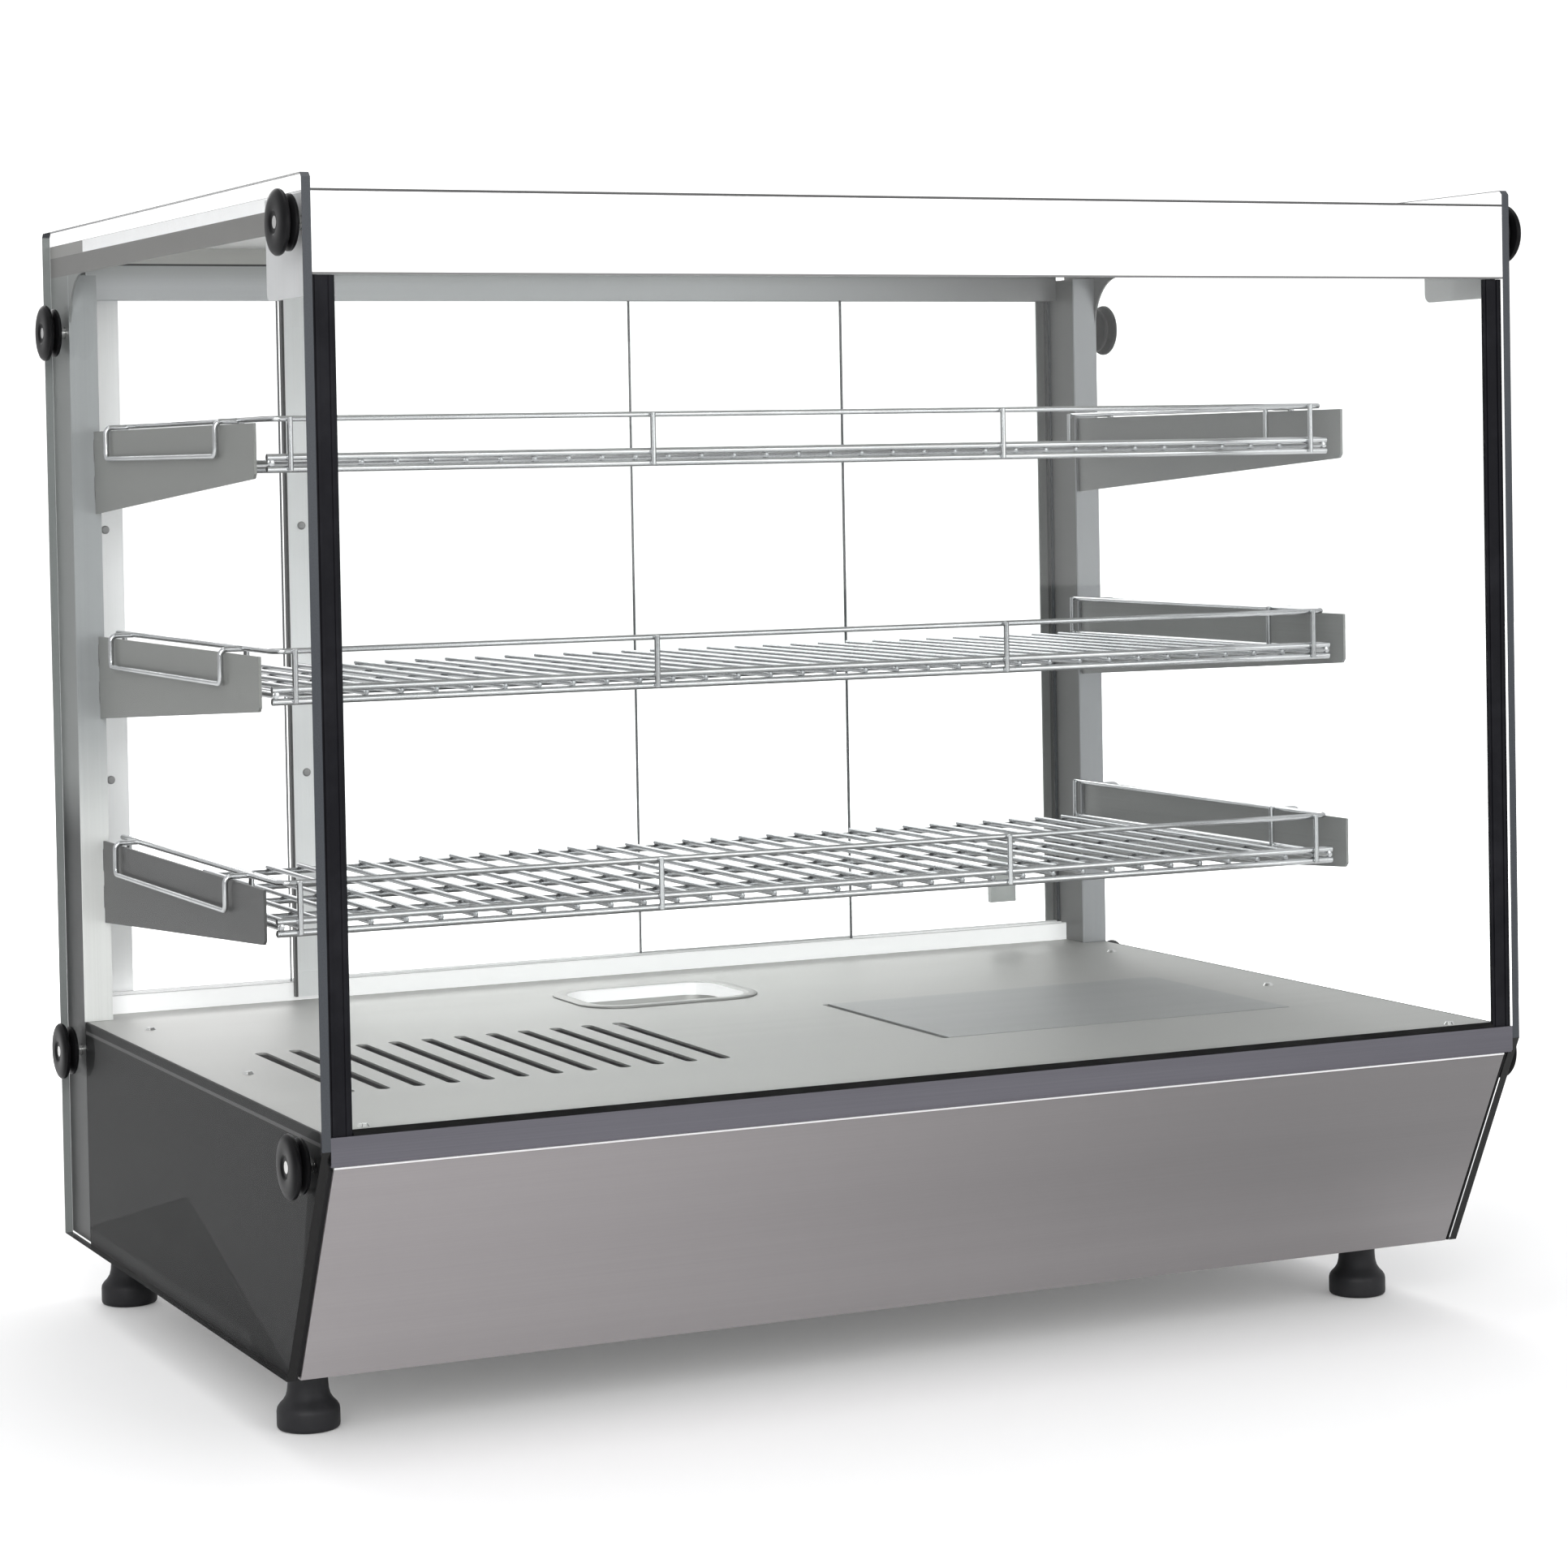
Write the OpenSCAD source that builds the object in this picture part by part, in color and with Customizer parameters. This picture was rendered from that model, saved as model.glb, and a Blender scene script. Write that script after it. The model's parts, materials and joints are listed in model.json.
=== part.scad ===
// Countertop hot food display case: glass sides held by clamp knobs, a heated base
// with a raked front, a lit canopy, wire shelves on brackets and two sliding rear doors.
// Front faces -Y. The origin is on the floor, in the middle of the footprint.

/* [Overall] */
// Width over the two end glasses
body_w = 900; // [860:10:1200]
// Depth of the end glasses
body_d = 635; // [560:1:770]
// Height of the end glasses above the bottom of the base
glass_h = 767; // [700:1:900]
// Height of the feet below the base
foot_h = 50; // [40:1:60]
// Thickness of the front and end glasses
glass_t = 6; // [4:0.5:8]
// Thickness of folded sheet metal
sheet_t = 1.5; // [1:0.1:2]

/* [Base] */
// Height of the deck's top above the bottom of the base
deck_z = 168.6; // [150:0.1:200]
// Height where the end glass turns back to the base
kink_z = 160; // [140:1:170]
// Setback of the raked front panel at its bottom edge
rake_d = 82; // [40:1:110]
// Height of the raked front panel
panel_h = 150; // [130:1:155]
// Visible gap between an end glass and the front panel
panel_gap = 3.5; // [1:0.5:8]
// Depth of the rear panel in from the rear edge
rear_inset = 26; // [22:1:40]
// Depth of the front rail from front to back
rail_d = 20.5; // [18:0.5:28]

/* [Deck] */
// Number of air slots in the deck
slot_count = 12; // [6:1:14]
// Distance from one air slot to the next
slot_pitch = 25; // [15:1:25]
// Width of an air slot
slot_w = 9; // [4:0.5:11]
// Length of an air slot
slot_l = 200; // [120:5:240]
// Place of the first air slot along the width
slot_x = -376; // [-380:1:-340]
// Place of the front ends of the air slots
slot_y = -154; // [-200:1:-120]
// Width of the water tray's opening
tray_w = 128; // [90:1:150]
// Depth of the water tray's opening, front to back
tray_d = 94; // [70:1:100]
// Corner radius of the water tray's opening
tray_r = 24; // [12:1:34]
// Place of the water tray along the width
tray_x = -17; // [-40:1:0]
// Place of the water tray along the depth
tray_y = 168; // [140:1:180]
// How far the water tray reaches below the deck
tray_depth = 20; // [15:1:45]
// Width of the floor cover's opening
cover_w = 292; // [200:1:310]
// Depth of the floor cover's opening, front to back
cover_d = 200; // [140:1:220]
// Left edge of the floor cover's opening
cover_x = 70; // [40:1:90]
// Front edge of the floor cover's opening
cover_y = -152; // [-180:1:-120]
// Clear gap at the left edge of the floor cover
cover_seam = 5; // [1:0.5:6]

/* [Canopy] */
// Height of the canopy's top above the bottom of the base
canopy_z = 757; // [690:1:890]
// Height of the white front fascia
fascia_h = 53; // [40:1:70]
// Height of the canopy's side skirts
skirt_h = 24; // [12:1:28]
// Radius of the lamp tube
lamp_r = 8; // [6:0.5:12]

/* [Rear frame] */
// Depth of a rear post, front to back
post_d = 51.5; // [45:0.5:60]
// Width of a rear post's box section
post_w = 21.5; // [20:0.5:30]
// Width of the left post's flange, which covers the gap beside the left door
flange_w = 30; // [20:1:40]
// Width of the right post's flange, which the right door closes against
flange_right_w = 9; // [8:1:24]
// Height of the rear top rail
rail_h = 41; // [34:1:55]
// Height of the door track above the deck
track_h = 14.5; // [12:0.5:20]

/* [Doors] */
// Thickness of a sliding door
door_t = 5; // [4:0.5:6]
// Place of the right door's free edge along the width
door_meet = 31; // [0:1:60]
// How far the closed doors overlap
door_overlap = 36; // [20:1:60]
// How far the left door stands open
door_open = 152; // [0:1:180]
// Width of the left door's handle profile
handle_w = 26; // [20:1:34]

/* [Shelves] */
// Height of the top brackets' upper edge above the base
shelf_z = 615; // [560:1:640]
// Height from one shelf to the next
shelf_step = 155; // [130:1:170]
// Depth of the shelves' brackets in front of the posts
bracket_l = 401; // [330:1:430]
// Height of a bracket at its front end
bracket_front_h = 37; // [30:1:50]
// Height of a bracket at the post
bracket_rear_h = 62; // [45:1:80]
// Thickness of a bracket
bracket_t = 2; // [1.5:0.5:3]
// Height of the gallery rail above the shelf's frame
gallery_h = 31; // [20:1:40]
// Diameter of the shelf's frame wires
frame_wire = 5; // [4:0.5:6]
// Diameter of the shelf's grid and gallery wires
grid_wire = 4; // [3:0.5:5]
// Distance from one grid wire to the next
grid_pitch = 25; // [18:1:32]

/* [Knobs and feet] */
// Radius of a clamp knob
knob_r = 21; // [16:0.5:26]
// Length of a clamp knob
knob_l = 12; // [10:0.5:18]
// Radius of the clamp studs
stud_r = 4; // [3:0.5:5]
// Radius of a foot's pad
foot_r = 21; // [16:0.5:26]
// Radius of a foot's stud
foot_stud_r = 5; // [4:0.5:6]
// Distance of a foot from the middle, along the width
foot_x = 412; // [360:1:414]
// Place of the front feet along the depth
foot_front_y = -161; // [-200:1:-120]
// Place of the rear feet along the depth
foot_rear_y = 276; // [200:1:276]

/* [Services] */
// Radius of the thermostat knob
dial_r = 19; // [14:0.5:22]
// Size of the fan's square frame
fan_w = 120; // [92:1:140]
// Radius of the cable gland's bore
gland_r = 4.2; // [3:0.1:6]

/* [Hidden] */
$fn = 48;
eps = 0.01;
edge_cut = 1.2;         // bevel where the rail meets the front panel
gap = 0.3;              // clear gap between pieces that only lie near each other
run = 0.06;             // radial clearance of a turning or sliding shaft

half_w = body_w / 2;
half_d = body_d / 2;
glass_in = half_w - glass_t;            // inner face of an end glass
sheet_in = glass_in - sheet_t;          // inner face of the sheet metal against it
rear_y = half_d - rear_inset;           // outer face of the rear panel
rail_back = -half_d + rail_d;           // back face of the front rail
glass_front = -half_d + 5.5;            // outer face of the front glass
glass_back = glass_front + glass_t;
post_y = half_d - post_d;               // front face of the rear posts
post_in = glass_in - post_w;            // inner face of the rear posts
flange_t = sheet_t;
rail_front = half_d - 21.9;             // front face of the door track and top rail
rail_depth = 20;
rail_z = canopy_z - rail_h;             // underside of the rear top rail
track_top = deck_z + track_h;
door_front_y = rail_front + 2.7;        // front face of the left door, in the front track
door_rear_y = door_front_y + door_t + 3;
door_bottom = track_top - 9.7;
door_top = rail_z + 10;
jamb = post_in - 0.5;                   // where a door's edge stops
door_left_w = jamb + door_meet + door_overlap;
door_right_w = jamb - door_meet;
left_door_x = -jamb + door_open;        // left edge of the left door
right_door_x = jamb - door_right_w;     // left edge of the right door
bracket_out = post_in + 4.5;            // outer face of a bracket
bracket_in = bracket_out - bracket_t;
shelf_half = post_in - 9;               // centre of a shelf's side wire
shelf_rear = post_y - 8;
shelf_front = post_y - bracket_l + 7;
hook_x = bracket_out + 3.5;             // centre of the hanger wire outside the bracket
fascia_z = canopy_z - fascia_h;
knob_y_front = -half_d + 20.5;
knob_y_rear = half_d - 37.5;
knob_y_low = -half_d + 38.5;
knob_z_top = canopy_z - 20;
knob_z_rear = canopy_z - 67;
knob_z_low = kink_z - 14;
knob_points = [
    [knob_y_front, knob_z_top], [knob_y_rear, knob_z_rear],
    [knob_y_rear, knob_z_low], [knob_y_low, knob_z_low]
];
screw_x = glass_in - 32;
screw_pitch = 243;
screw_y = -half_d + 32;
fan_x = slot_x + slot_pitch * (slot_count - 1) / 2;
fan_y = slot_y + slot_l / 2;
fan_z = 24;
fan_t = 38;
lamp_x = glass_in - 34;     // outer end of a lamp holder
lamp_y = -half_d + 47.5;
lamp_z = canopy_z - sheet_t - 32;
dial_x = -250;
dial_z = 88;
switch_x = [-150, -90];
switch_z = 88;
rocker_y = rear_y - 6;
rocker_tilt = 8;        // half of a rocker's throw
lens_x = -40;
gland_x = 300;
gland_z = 60;

// Front face of the raked panel at height z
function rake_y(z) = -half_d + rake_d * (1 - min(z, kink_z) / kink_z);

module on_feet() {
    translate([0, 0, foot_h]) children();
}

// A profile drawn in Y and Z, extruded from x0 to x1
module along_x(x0, x1) {
    translate([x0, 0, 0]) rotate([90, 0, 90]) linear_extrude(x1 - x0) children();
}

// A profile drawn in X and Z, extruded from y0 to y1
module along_y(y0, y1) {
    translate([0, y1, 0]) rotate([90, 0, 0]) linear_extrude(y1 - y0) children();
}

// A flat rectangle between two corners
module rect(a, b) {
    translate([a[0], a[1]]) square([b[0] - a[0], b[1] - a[1]]);
}

// A box between two corners
module block(a, b) {
    translate(a) cube([b[0] - a[0], b[1] - a[1], b[2] - a[2]]);
}

module rounded(w, d, r) {
    square([w - 2 * r, d], center = true);
    square([w, d - 2 * r], center = true);
    for (sx = [-1, 1], sy = [-1, 1])
        translate([sx * (w / 2 - r), sy * (d / 2 - r)]) circle(r);
}

// Draws its child on the left, or mirrored on the right
module side(right) {
    if (right) mirror([1, 0, 0]) children();
    else children();
}

// A round rod along X, Y or Z with eight flats, as drawn wire is modelled
module rod(a, b, d) {
    v = b - a;
    flat = d / 2 / cos(22.5);
    translate(a)
        if (v[0] != 0) rotate([0, 90, 0]) rotate([0, 0, 22.5]) cylinder(r = flat, h = v[0], $fn = 8);
        else if (v[1] != 0) rotate([-90, 0, 0]) rotate([0, 0, 22.5]) cylinder(r = flat, h = v[1], $fn = 8);
        else rotate([0, 0, 22.5]) cylinder(r = flat, h = v[2], $fn = 8);
}

// ---------------------------------------------------------------- base

module foot_points() {
    for (x = [-foot_x, foot_x], y = [foot_front_y, foot_rear_y])
        translate([x, y, 0]) children();
}

module base_pan() {
    lip = 12;
    y0 = rake_y(0) + 18 + gap;
    x1 = sheet_in - gap;
    color("silver") on_feet() difference() {
        union() {
            block([-x1, y0, 0], [x1, half_d - 1, sheet_t]);
            block([-x1, y0, 0], [x1, y0 + sheet_t, lip]);
            for (s = [0, 1]) side(s)
                block([-x1, y0, 0], [-x1 + sheet_t, post_y - 1, lip]);
            block([-post_in + 1, rear_y - 2 * sheet_t - gap, 0], [post_in - 1, rear_y - sheet_t - gap, lip]);
            foot_points() cylinder(r = 10, h = 14);
        }
        foot_points() translate([0, 0, -1]) cylinder(r = foot_stud_r + run, h = 16);
        for (i = [0 : 7]) translate([-60 + i * 16, 60, -1]) rounded_slot(6, 120, sheet_t + 2);
        rear_screw_points() cylinder(r = 1.6, h = 20, center = true);
    }
}

// A slot with round ends through a horizontal sheet, centred in X and Y
module rounded_slot(w, l, h) {
    linear_extrude(h) slot_2d(w, l);
}

module slot_2d(w, l) {
    square([w, l - w], center = true);
    for (s = [-1, 1]) translate([0, s * (l - w) / 2]) circle(w / 2, $fn = 24);
}

module side_panel(right) {
    y1 = post_y - 1;
    inset = 1;
    back = 1.9;
    flange = 38;
    color("dimgray") on_feet() side(right) difference() {
        union() {
            along_x(-glass_in, -sheet_in) polygon([
                [rail_back + gap, deck_z], [rail_back + gap, panel_h - gap],
                [rake_y(panel_h - gap) + inset, panel_h - gap], [rake_y(0) + inset, 0], [y1, 0], [y1, deck_z]
            ]);
            along_x(-sheet_in, -sheet_in + 7) polygon([
                [rake_y(panel_h - 3) + back, panel_h - 3], [rake_y(3) + back, 3],
                [rake_y(3) + back + sheet_t, 3], [rake_y(panel_h - 3) + back + sheet_t, panel_h - 3]
            ]);
            block([-sheet_in - eps, rail_back + 2, deck_z - 2 * sheet_t - 0.1],
                  [-sheet_in + flange, y1, deck_z - sheet_t - 0.1]);
        }
        translate([-half_w, knob_y_low, knob_z_low]) rotate([0, 90, 0]) cylinder(r = stud_r + 0.5, h = 40);
        for (i = [0 : 2]) translate([-screw_x, screw_y + i * screw_pitch, 0]) cylinder(r = 2.3, h = deck_z);
    }
}

module side_panel_left() { side_panel(false); }
module side_panel_right() { side_panel(true); }

module front_panel() {
    x1 = glass_in - panel_gap;
    t = sheet_t + 0.2;
    color("silver") on_feet() along_x(-x1, x1) polygon([
        [rake_y(panel_h) + edge_cut, panel_h], [rake_y(panel_h), panel_h - edge_cut], [rake_y(0), 0], [rake_y(0) + 18, 0],
        [rake_y(0) + 18, sheet_t], [rake_y(sheet_t) + t, sheet_t],
        [rake_y(panel_h - sheet_t) + t, panel_h - sheet_t],
        [rake_y(panel_h) + 14, panel_h - sheet_t], [rake_y(panel_h) + 14, panel_h]
    ]);
}

module front_rail() {
    x1 = glass_in;
    color("slategray") on_feet() along_x(-x1, x1) difference() {
        rect([-half_d, panel_h], [rail_back, deck_z]);
        rect([-half_d - 1, panel_h - 1], [-half_d + edge_cut, panel_h + edge_cut]);
        rect([glass_front - gap, deck_z - 10], [glass_back + gap, deck_z + 1]);
        rect([-half_d + 2, panel_h + 2], [rail_back - 2, deck_z - 12]);
    }
}

// Rubber lip that closes the gap between the rail and the front glass
module front_seal() {
    x1 = glass_in - 15 - gap;
    y1 = glass_front - 0.1;
    color("black") on_feet() along_x(-x1, x1) polygon([
        [-half_d + 0.8, deck_z], [y1, deck_z], [y1, deck_z + 3.4], [y1 - 1, deck_z + 3.4], [-half_d + 1.4, deck_z + 1.2]
    ]);
}

module rear_panel() {
    x1 = post_in - gap;
    top = deck_z - sheet_t - 0.1;
    vent_x = 120;
    color("silver") on_feet() difference() {
        union() {
            block([-x1, rear_y - sheet_t, sheet_t], [x1, rear_y, top]);
            block([-x1, rear_y - sheet_t, top - sheet_t], [x1, rail_front + rail_depth, top]);
        }
        rear_screw_points() cylinder(r = 1.6, h = 20, center = true);
        translate([dial_x, rear_y, dial_z]) rotate([90, 0, 0]) cylinder(r = 3.6, h = 20, center = true);
        for (x = switch_x) translate([x, rear_y, switch_z]) cube([28, 20, 22], center = true);
        translate([lens_x, rear_y, switch_z]) rotate([90, 0, 0]) cylinder(r = 5.3, h = 20, center = true);
        translate([gland_x, rear_y, gland_z]) rotate([90, 0, 0]) cylinder(r = 8.3, h = 20, center = true);
        for (i = [0 : 9]) translate([vent_x + (i - 4.5) * 14, rear_y - 10, 0])
            along_y(0, 20) translate([0, 80]) slot_2d(6, 70);
    }
}

// Places of the screws that hold the rear panel to the pan, with Z outwards
module rear_screw_points() {
    for (i = [-2 : 2]) translate([i * 190, rear_y, 7]) rotate([-90, 0, 0]) children();
}

module rear_screws() {
    color("silver") on_feet() rear_screw_points() {
        rotate_extrude() polygon([[0, 0], [3.4, 0], [3.4, 0.8], [2.4, 2], [0, 2.2]]);
        translate([0, 0, -7]) cylinder(r = 1.4, h = 7 + eps);
    }
}

// ---------------------------------------------------------------- deck

module deck_outline() {
    rect([-sheet_in + gap, rail_back + gap], [sheet_in - gap, post_y - 1]);
    rect([-post_in + gap, rail_back + gap], [post_in - gap, rail_front - gap]);
}

module deck_openings() {
    for (i = [0 : slot_count - 1])
        translate([slot_x + i * slot_pitch, slot_y + slot_l / 2]) slot_2d(slot_w, slot_l);
    translate([tray_x, tray_y]) rounded(tray_w, tray_d, tray_r);
    for (s = [-1, 1], i = [0 : 2]) translate([s * screw_x, screw_y + i * screw_pitch]) circle(2.3);
}

module deck_plate() {
    ledge = 8;
    top = deck_z - sheet_t;
    color("lightgray") on_feet() {
        difference() {
            translate([0, 0, top]) linear_extrude(sheet_t) difference() {
                deck_outline();
                deck_openings();
                rect([cover_x, cover_y], [cover_x + cover_w, cover_y + cover_d]);
            }
        }
        translate([0, 0, top - sheet_t]) linear_extrude(sheet_t + eps) difference() {
            rect([cover_x - ledge, cover_y - ledge], [cover_x + cover_w + ledge, cover_y + cover_d + ledge]);
            rect([cover_x + ledge, cover_y + ledge], [cover_x + cover_w - ledge, cover_y + cover_d - ledge]);
        }
        block([-shelf_half, rail_back + gap, top - 12], [shelf_half, rail_back + gap + sheet_t, top + eps]);
    }
}

module floor_cover() {
    color("gainsboro") on_feet() {
        block([cover_x + cover_seam, cover_y + 0.8, deck_z - sheet_t + gap],
              [cover_x + cover_w - 0.8, cover_y + cover_d - 0.8, deck_z + gap]);
        for (y = [cover_y + 8.6, cover_y + cover_d - 10.1])
            block([cover_x + 30, y, deck_z - 9], [cover_x + cover_w - 30, y + sheet_t, deck_z]);
    }
}

module water_tray() {
    rim = 10;
    wall = 1;
    color("white") on_feet() translate([tray_x, tray_y, 0]) difference() {
        union() {
            translate([0, 0, deck_z + gap]) linear_extrude(1.2) rounded(tray_w + 2 * rim, tray_d + 2 * rim, tray_r + rim);
            translate([0, 0, deck_z - tray_depth]) linear_extrude(tray_depth + 1)
                rounded(tray_w - 1, tray_d - 1, tray_r - 0.5);
        }
        translate([0, 0, deck_z - tray_depth + wall]) linear_extrude(tray_depth + 10)
            rounded(tray_w - 1 - 2 * wall, tray_d - 1 - 2 * wall, tray_r - 0.5 - wall);
    }
}

module deck_screws() {
    color("silver") on_feet()
        for (s = [-1, 1], i = [0 : 2]) translate([s * screw_x, screw_y + i * screw_pitch, 0]) {
            translate([0, 0, deck_z]) cylinder(r1 = 4.2, r2 = 2.8, h = 1.8);
            translate([0, 0, deck_z - 9]) cylinder(r = 2, h = 9 + eps);
        }
}

// ---------------------------------------------------------------- glass

module end_glass(right) {
    c = 3;
    color("lightcyan", 0.4) on_feet() side(right) difference() {
        along_x(-half_w, -glass_in) polygon([
            [-half_d, glass_h - c], [-half_d, kink_z], [rake_y(0), 0], [half_d, 0],
            [half_d, glass_h - c], [half_d - c, glass_h], [-half_d + c, glass_h]
        ]);
        for (p = knob_points) translate([-half_w - 1, p[0], p[1]]) rotate([0, 90, 0])
            cylinder(r = stud_r + 0.5, h = glass_t + 2);
    }
}

module end_glass_left() { end_glass(false); }
module end_glass_right() { end_glass(true); }

module front_glass() {
    x1 = glass_in - 2.7;
    color("lightcyan", 0.3) on_feet()
        block([-x1, glass_front, deck_z - 10 + gap], [x1, glass_back, canopy_z - 22]);
}

module corner_strip(right) {
    color("black") on_feet() side(right) translate([0, 0, deck_z]) linear_extrude(fascia_z - deck_z - gap) {
        rect([-glass_in, glass_front - 3], [-glass_in + 15, glass_front - gap]);
        for (x = [2, 11]) translate([-glass_in + x, glass_front - 3.8]) square([2, 1]);
        rect([-glass_in, glass_front - 3], [-glass_in + 2.2, glass_back]);
    }
}

module corner_strip_left() { corner_strip(false); }
module corner_strip_right() { corner_strip(true); }

// ---------------------------------------------------------------- canopy

module canopy_top() {
    top = canopy_z - sheet_t;
    color("silver") on_feet() {
        block([-glass_in, -half_d, top], [glass_in, half_d - gap, canopy_z]);
        for (s = [0, 1]) side(s)
            block([-glass_in, -half_d + 94, canopy_z - skirt_h], [-sheet_in, half_d - gap, canopy_z]);
    }
}

module front_fascia() {
    top = canopy_z - sheet_t - 0.1;
    back = glass_back + 1.5;
    color("white") on_feet() {
        block([-glass_in, -half_d, fascia_z], [glass_in, -half_d + sheet_t, top]);
        block([-glass_in, -half_d, fascia_z], [glass_in, glass_front - gap, fascia_z + sheet_t]);
        along_x(-glass_in + 9, glass_in - 9) {
            rect([-half_d + eps, top - sheet_t], [back + sheet_t, top]);
            rect([back, fascia_z + 18], [back + sheet_t, top]);
        }
    }
}

module canopy_bracket(right) {
    t = 3;
    drop = 13;
    y0 = -half_d + 12.5;
    color("gainsboro") on_feet() side(right) difference() {
        along_x(-glass_in, -glass_in + t) {
            rect([y0, fascia_z - drop + 6], [y0 + 80, canopy_z - sheet_t]);
            rect([y0 + 6, fascia_z - drop], [y0 + 74, canopy_z - sheet_t]);
            for (y = [y0 + 6, y0 + 74]) translate([y, fascia_z - drop + 6]) circle(6);
        }
        translate([-half_w, knob_y_front, knob_z_top]) rotate([0, 90, 0]) cylinder(r = stud_r + 0.5, h = 30);
    }
}

module canopy_bracket_left() { canopy_bracket(false); }
module canopy_bracket_right() { canopy_bracket(true); }

module lamp_holders() {
    l = 18;
    socket = 12;
    color("whitesmoke") on_feet() for (s = [0, 1]) side(s) difference() {
        union() {
            block([-lamp_x, lamp_y - 12, lamp_z], [-lamp_x + l, lamp_y + 12, canopy_z - sheet_t]);
            translate([-lamp_x, lamp_y, lamp_z]) rotate([0, 90, 0]) cylinder(r = 12, h = l);
        }
        translate([-lamp_x + socket, lamp_y, lamp_z]) rotate([0, 90, 0]) cylinder(r = lamp_r + gap, h = l);
    }
}

module lamp_tube() {
    end = lamp_x - 12.5;
    color("ivory") on_feet() translate([-end, lamp_y, lamp_z]) rotate([0, 90, 0]) cylinder(r = lamp_r, h = 2 * end);
}

// ---------------------------------------------------------------- rear frame and doors

module post_slots() {
    for (i = [0 : 2], dz = [-17, -45]) translate([-bracket_out - 0.4, post_y - 1, shelf_z - i * shelf_step + dz - 6])
        cube([bracket_t + 0.8, sheet_t + 2, 17]);
}

module rear_post(right) {
    r = 40;
    top = canopy_z - skirt_h;
    flange = right ? flange_right_w : flange_w;
    color("darkgray") on_feet() side(right) difference() {
        union() {
            translate([0, 0, sheet_t]) linear_extrude(top - sheet_t) {
                rect([-glass_in, post_y], [-sheet_in, half_d - gap]);
                rect([-glass_in, post_y], [-post_in, post_y + sheet_t]);
                rect([-post_in - sheet_t, post_y], [-post_in, half_d - gap]);
                rect([-post_in - sheet_t, half_d - gap - flange_t], [-post_in + flange, half_d - gap]);
            }
            along_x(-glass_in, -sheet_in) difference() {
                rect([post_y - r, top - r], [post_y + eps, top]);
                translate([post_y - r, top - r]) circle(r);
            }
        }
        post_slots();
        if (!right) for (z = [347, 540])
            translate([-post_in + 16, half_d, z]) rotate([90, 0, 0]) cylinder(r = 2.5, h = 10, center = true);
        for (p = [knob_points[1], knob_points[2]]) translate([-half_w, p[0], p[1]]) rotate([0, 90, 0])
            cylinder(r = stud_r + 0.5, h = 12);
    }
}

module rear_post_left() { rear_post(false); }
module rear_post_right() { rear_post(true); }

// The two grooves that guide the doors, as a profile in Y and Z
module door_grooves(z0, z1) {
    for (y = [door_front_y, door_rear_y]) rect([y - 0.7, z0], [y + door_t + 0.7, z1]);
}

module rear_top_rail() {
    x1 = post_in - gap;
    color("silver") on_feet() along_x(-x1, x1) difference() {
        rect([rail_front, rail_z], [rail_front + rail_depth, canopy_z - sheet_t]);
        door_grooves(rail_z - 1, rail_z + 12);
        rect([rail_front + 2, rail_z + 15], [rail_front + rail_depth - 2, canopy_z - sheet_t - 2]);
    }
}

module door_track() {
    x1 = post_in - gap;
    color("silver") on_feet() along_x(-x1, x1) difference() {
        rect([rail_front, deck_z - sheet_t], [rail_front + rail_depth, track_top]);
        door_grooves(track_top - 10, track_top + 1);
    }
}

module door_glass_left() {
    color("lightcyan", 0.3) on_feet()
        block([left_door_x, door_front_y, door_bottom], [left_door_x + door_left_w, door_front_y + door_t, door_top]);
}

module door_glass_right() {
    color("lightcyan", 0.3) on_feet()
        block([right_door_x, door_rear_y, door_bottom], [right_door_x + door_right_w, door_rear_y + door_t, door_top]);
}

// Full-height profile on the left door's edge, with the block that hooks before the top rail
module door_handle_left() {
    face = rail_front - 0.5;
    depth = 5.5;
    z0 = deck_z + 3;
    z1 = rail_z - 1;
    color("gainsboro") on_feet() {
        difference() {
            block([left_door_x, face - depth, z0], [left_door_x + handle_w, face, z1]);
            block([left_door_x + 3, face - depth - 1, z0 + 20], [left_door_x + handle_w - 3, face - depth + 1.2, z1 - 20]);
            for (z = [347, 540]) translate([left_door_x + handle_w / 2, face, z]) rotate([90, 0, 0])
                cylinder(r = 2, h = 30, center = true);
        }
        block([left_door_x + 3, face - eps, track_top + 4], [left_door_x + handle_w - 3, door_front_y, z1 - 4]);
        block([left_door_x - 0.2, face - depth, z1 - eps], [left_door_x + handle_w + 3, face, z1 + 32]);
    }
}

module door_handle_right() {
    edge = 64;
    x0 = right_door_x + door_right_w - edge;
    y0 = door_rear_y + door_t;
    pull_z = deck_z + 34;
    color("gainsboro") on_feet() difference() {
        block([x0, y0, pull_z], [x0 + 24, half_d - gap, pull_z + 56]);
        block([x0 + 8, y0 + 2, pull_z + 4], [x0 + 25, half_d - gap - 1.5, pull_z + 52]);
    }
}

// ---------------------------------------------------------------- shelves

// A bend of 90 degrees at corner p, from axis direction u to axis direction v
module bend(p, u, v, r, d) {
    c = p - r * u + r * v;
    n = cross(-v, u);
    multmatrix([
        [-v[0], u[0], n[0], c[0]], [-v[1], u[1], n[1], c[1]], [-v[2], u[2], n[2], c[2]], [0, 0, 0, 1]
    ]) rotate_extrude(angle = 90) translate([r, 0]) rotate(22.5) circle(r = d / 2 / cos(22.5), $fn = 8);
}

// The wire between two points along an axis, whichever end comes first
module run_wire(a, b, d) {
    lo = [for (k = [0 : 2]) min(a[k], b[k])];
    hi = [for (k = [0 : 2]) max(a[k], b[k])];
    rod(lo, hi, d);
}

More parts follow.
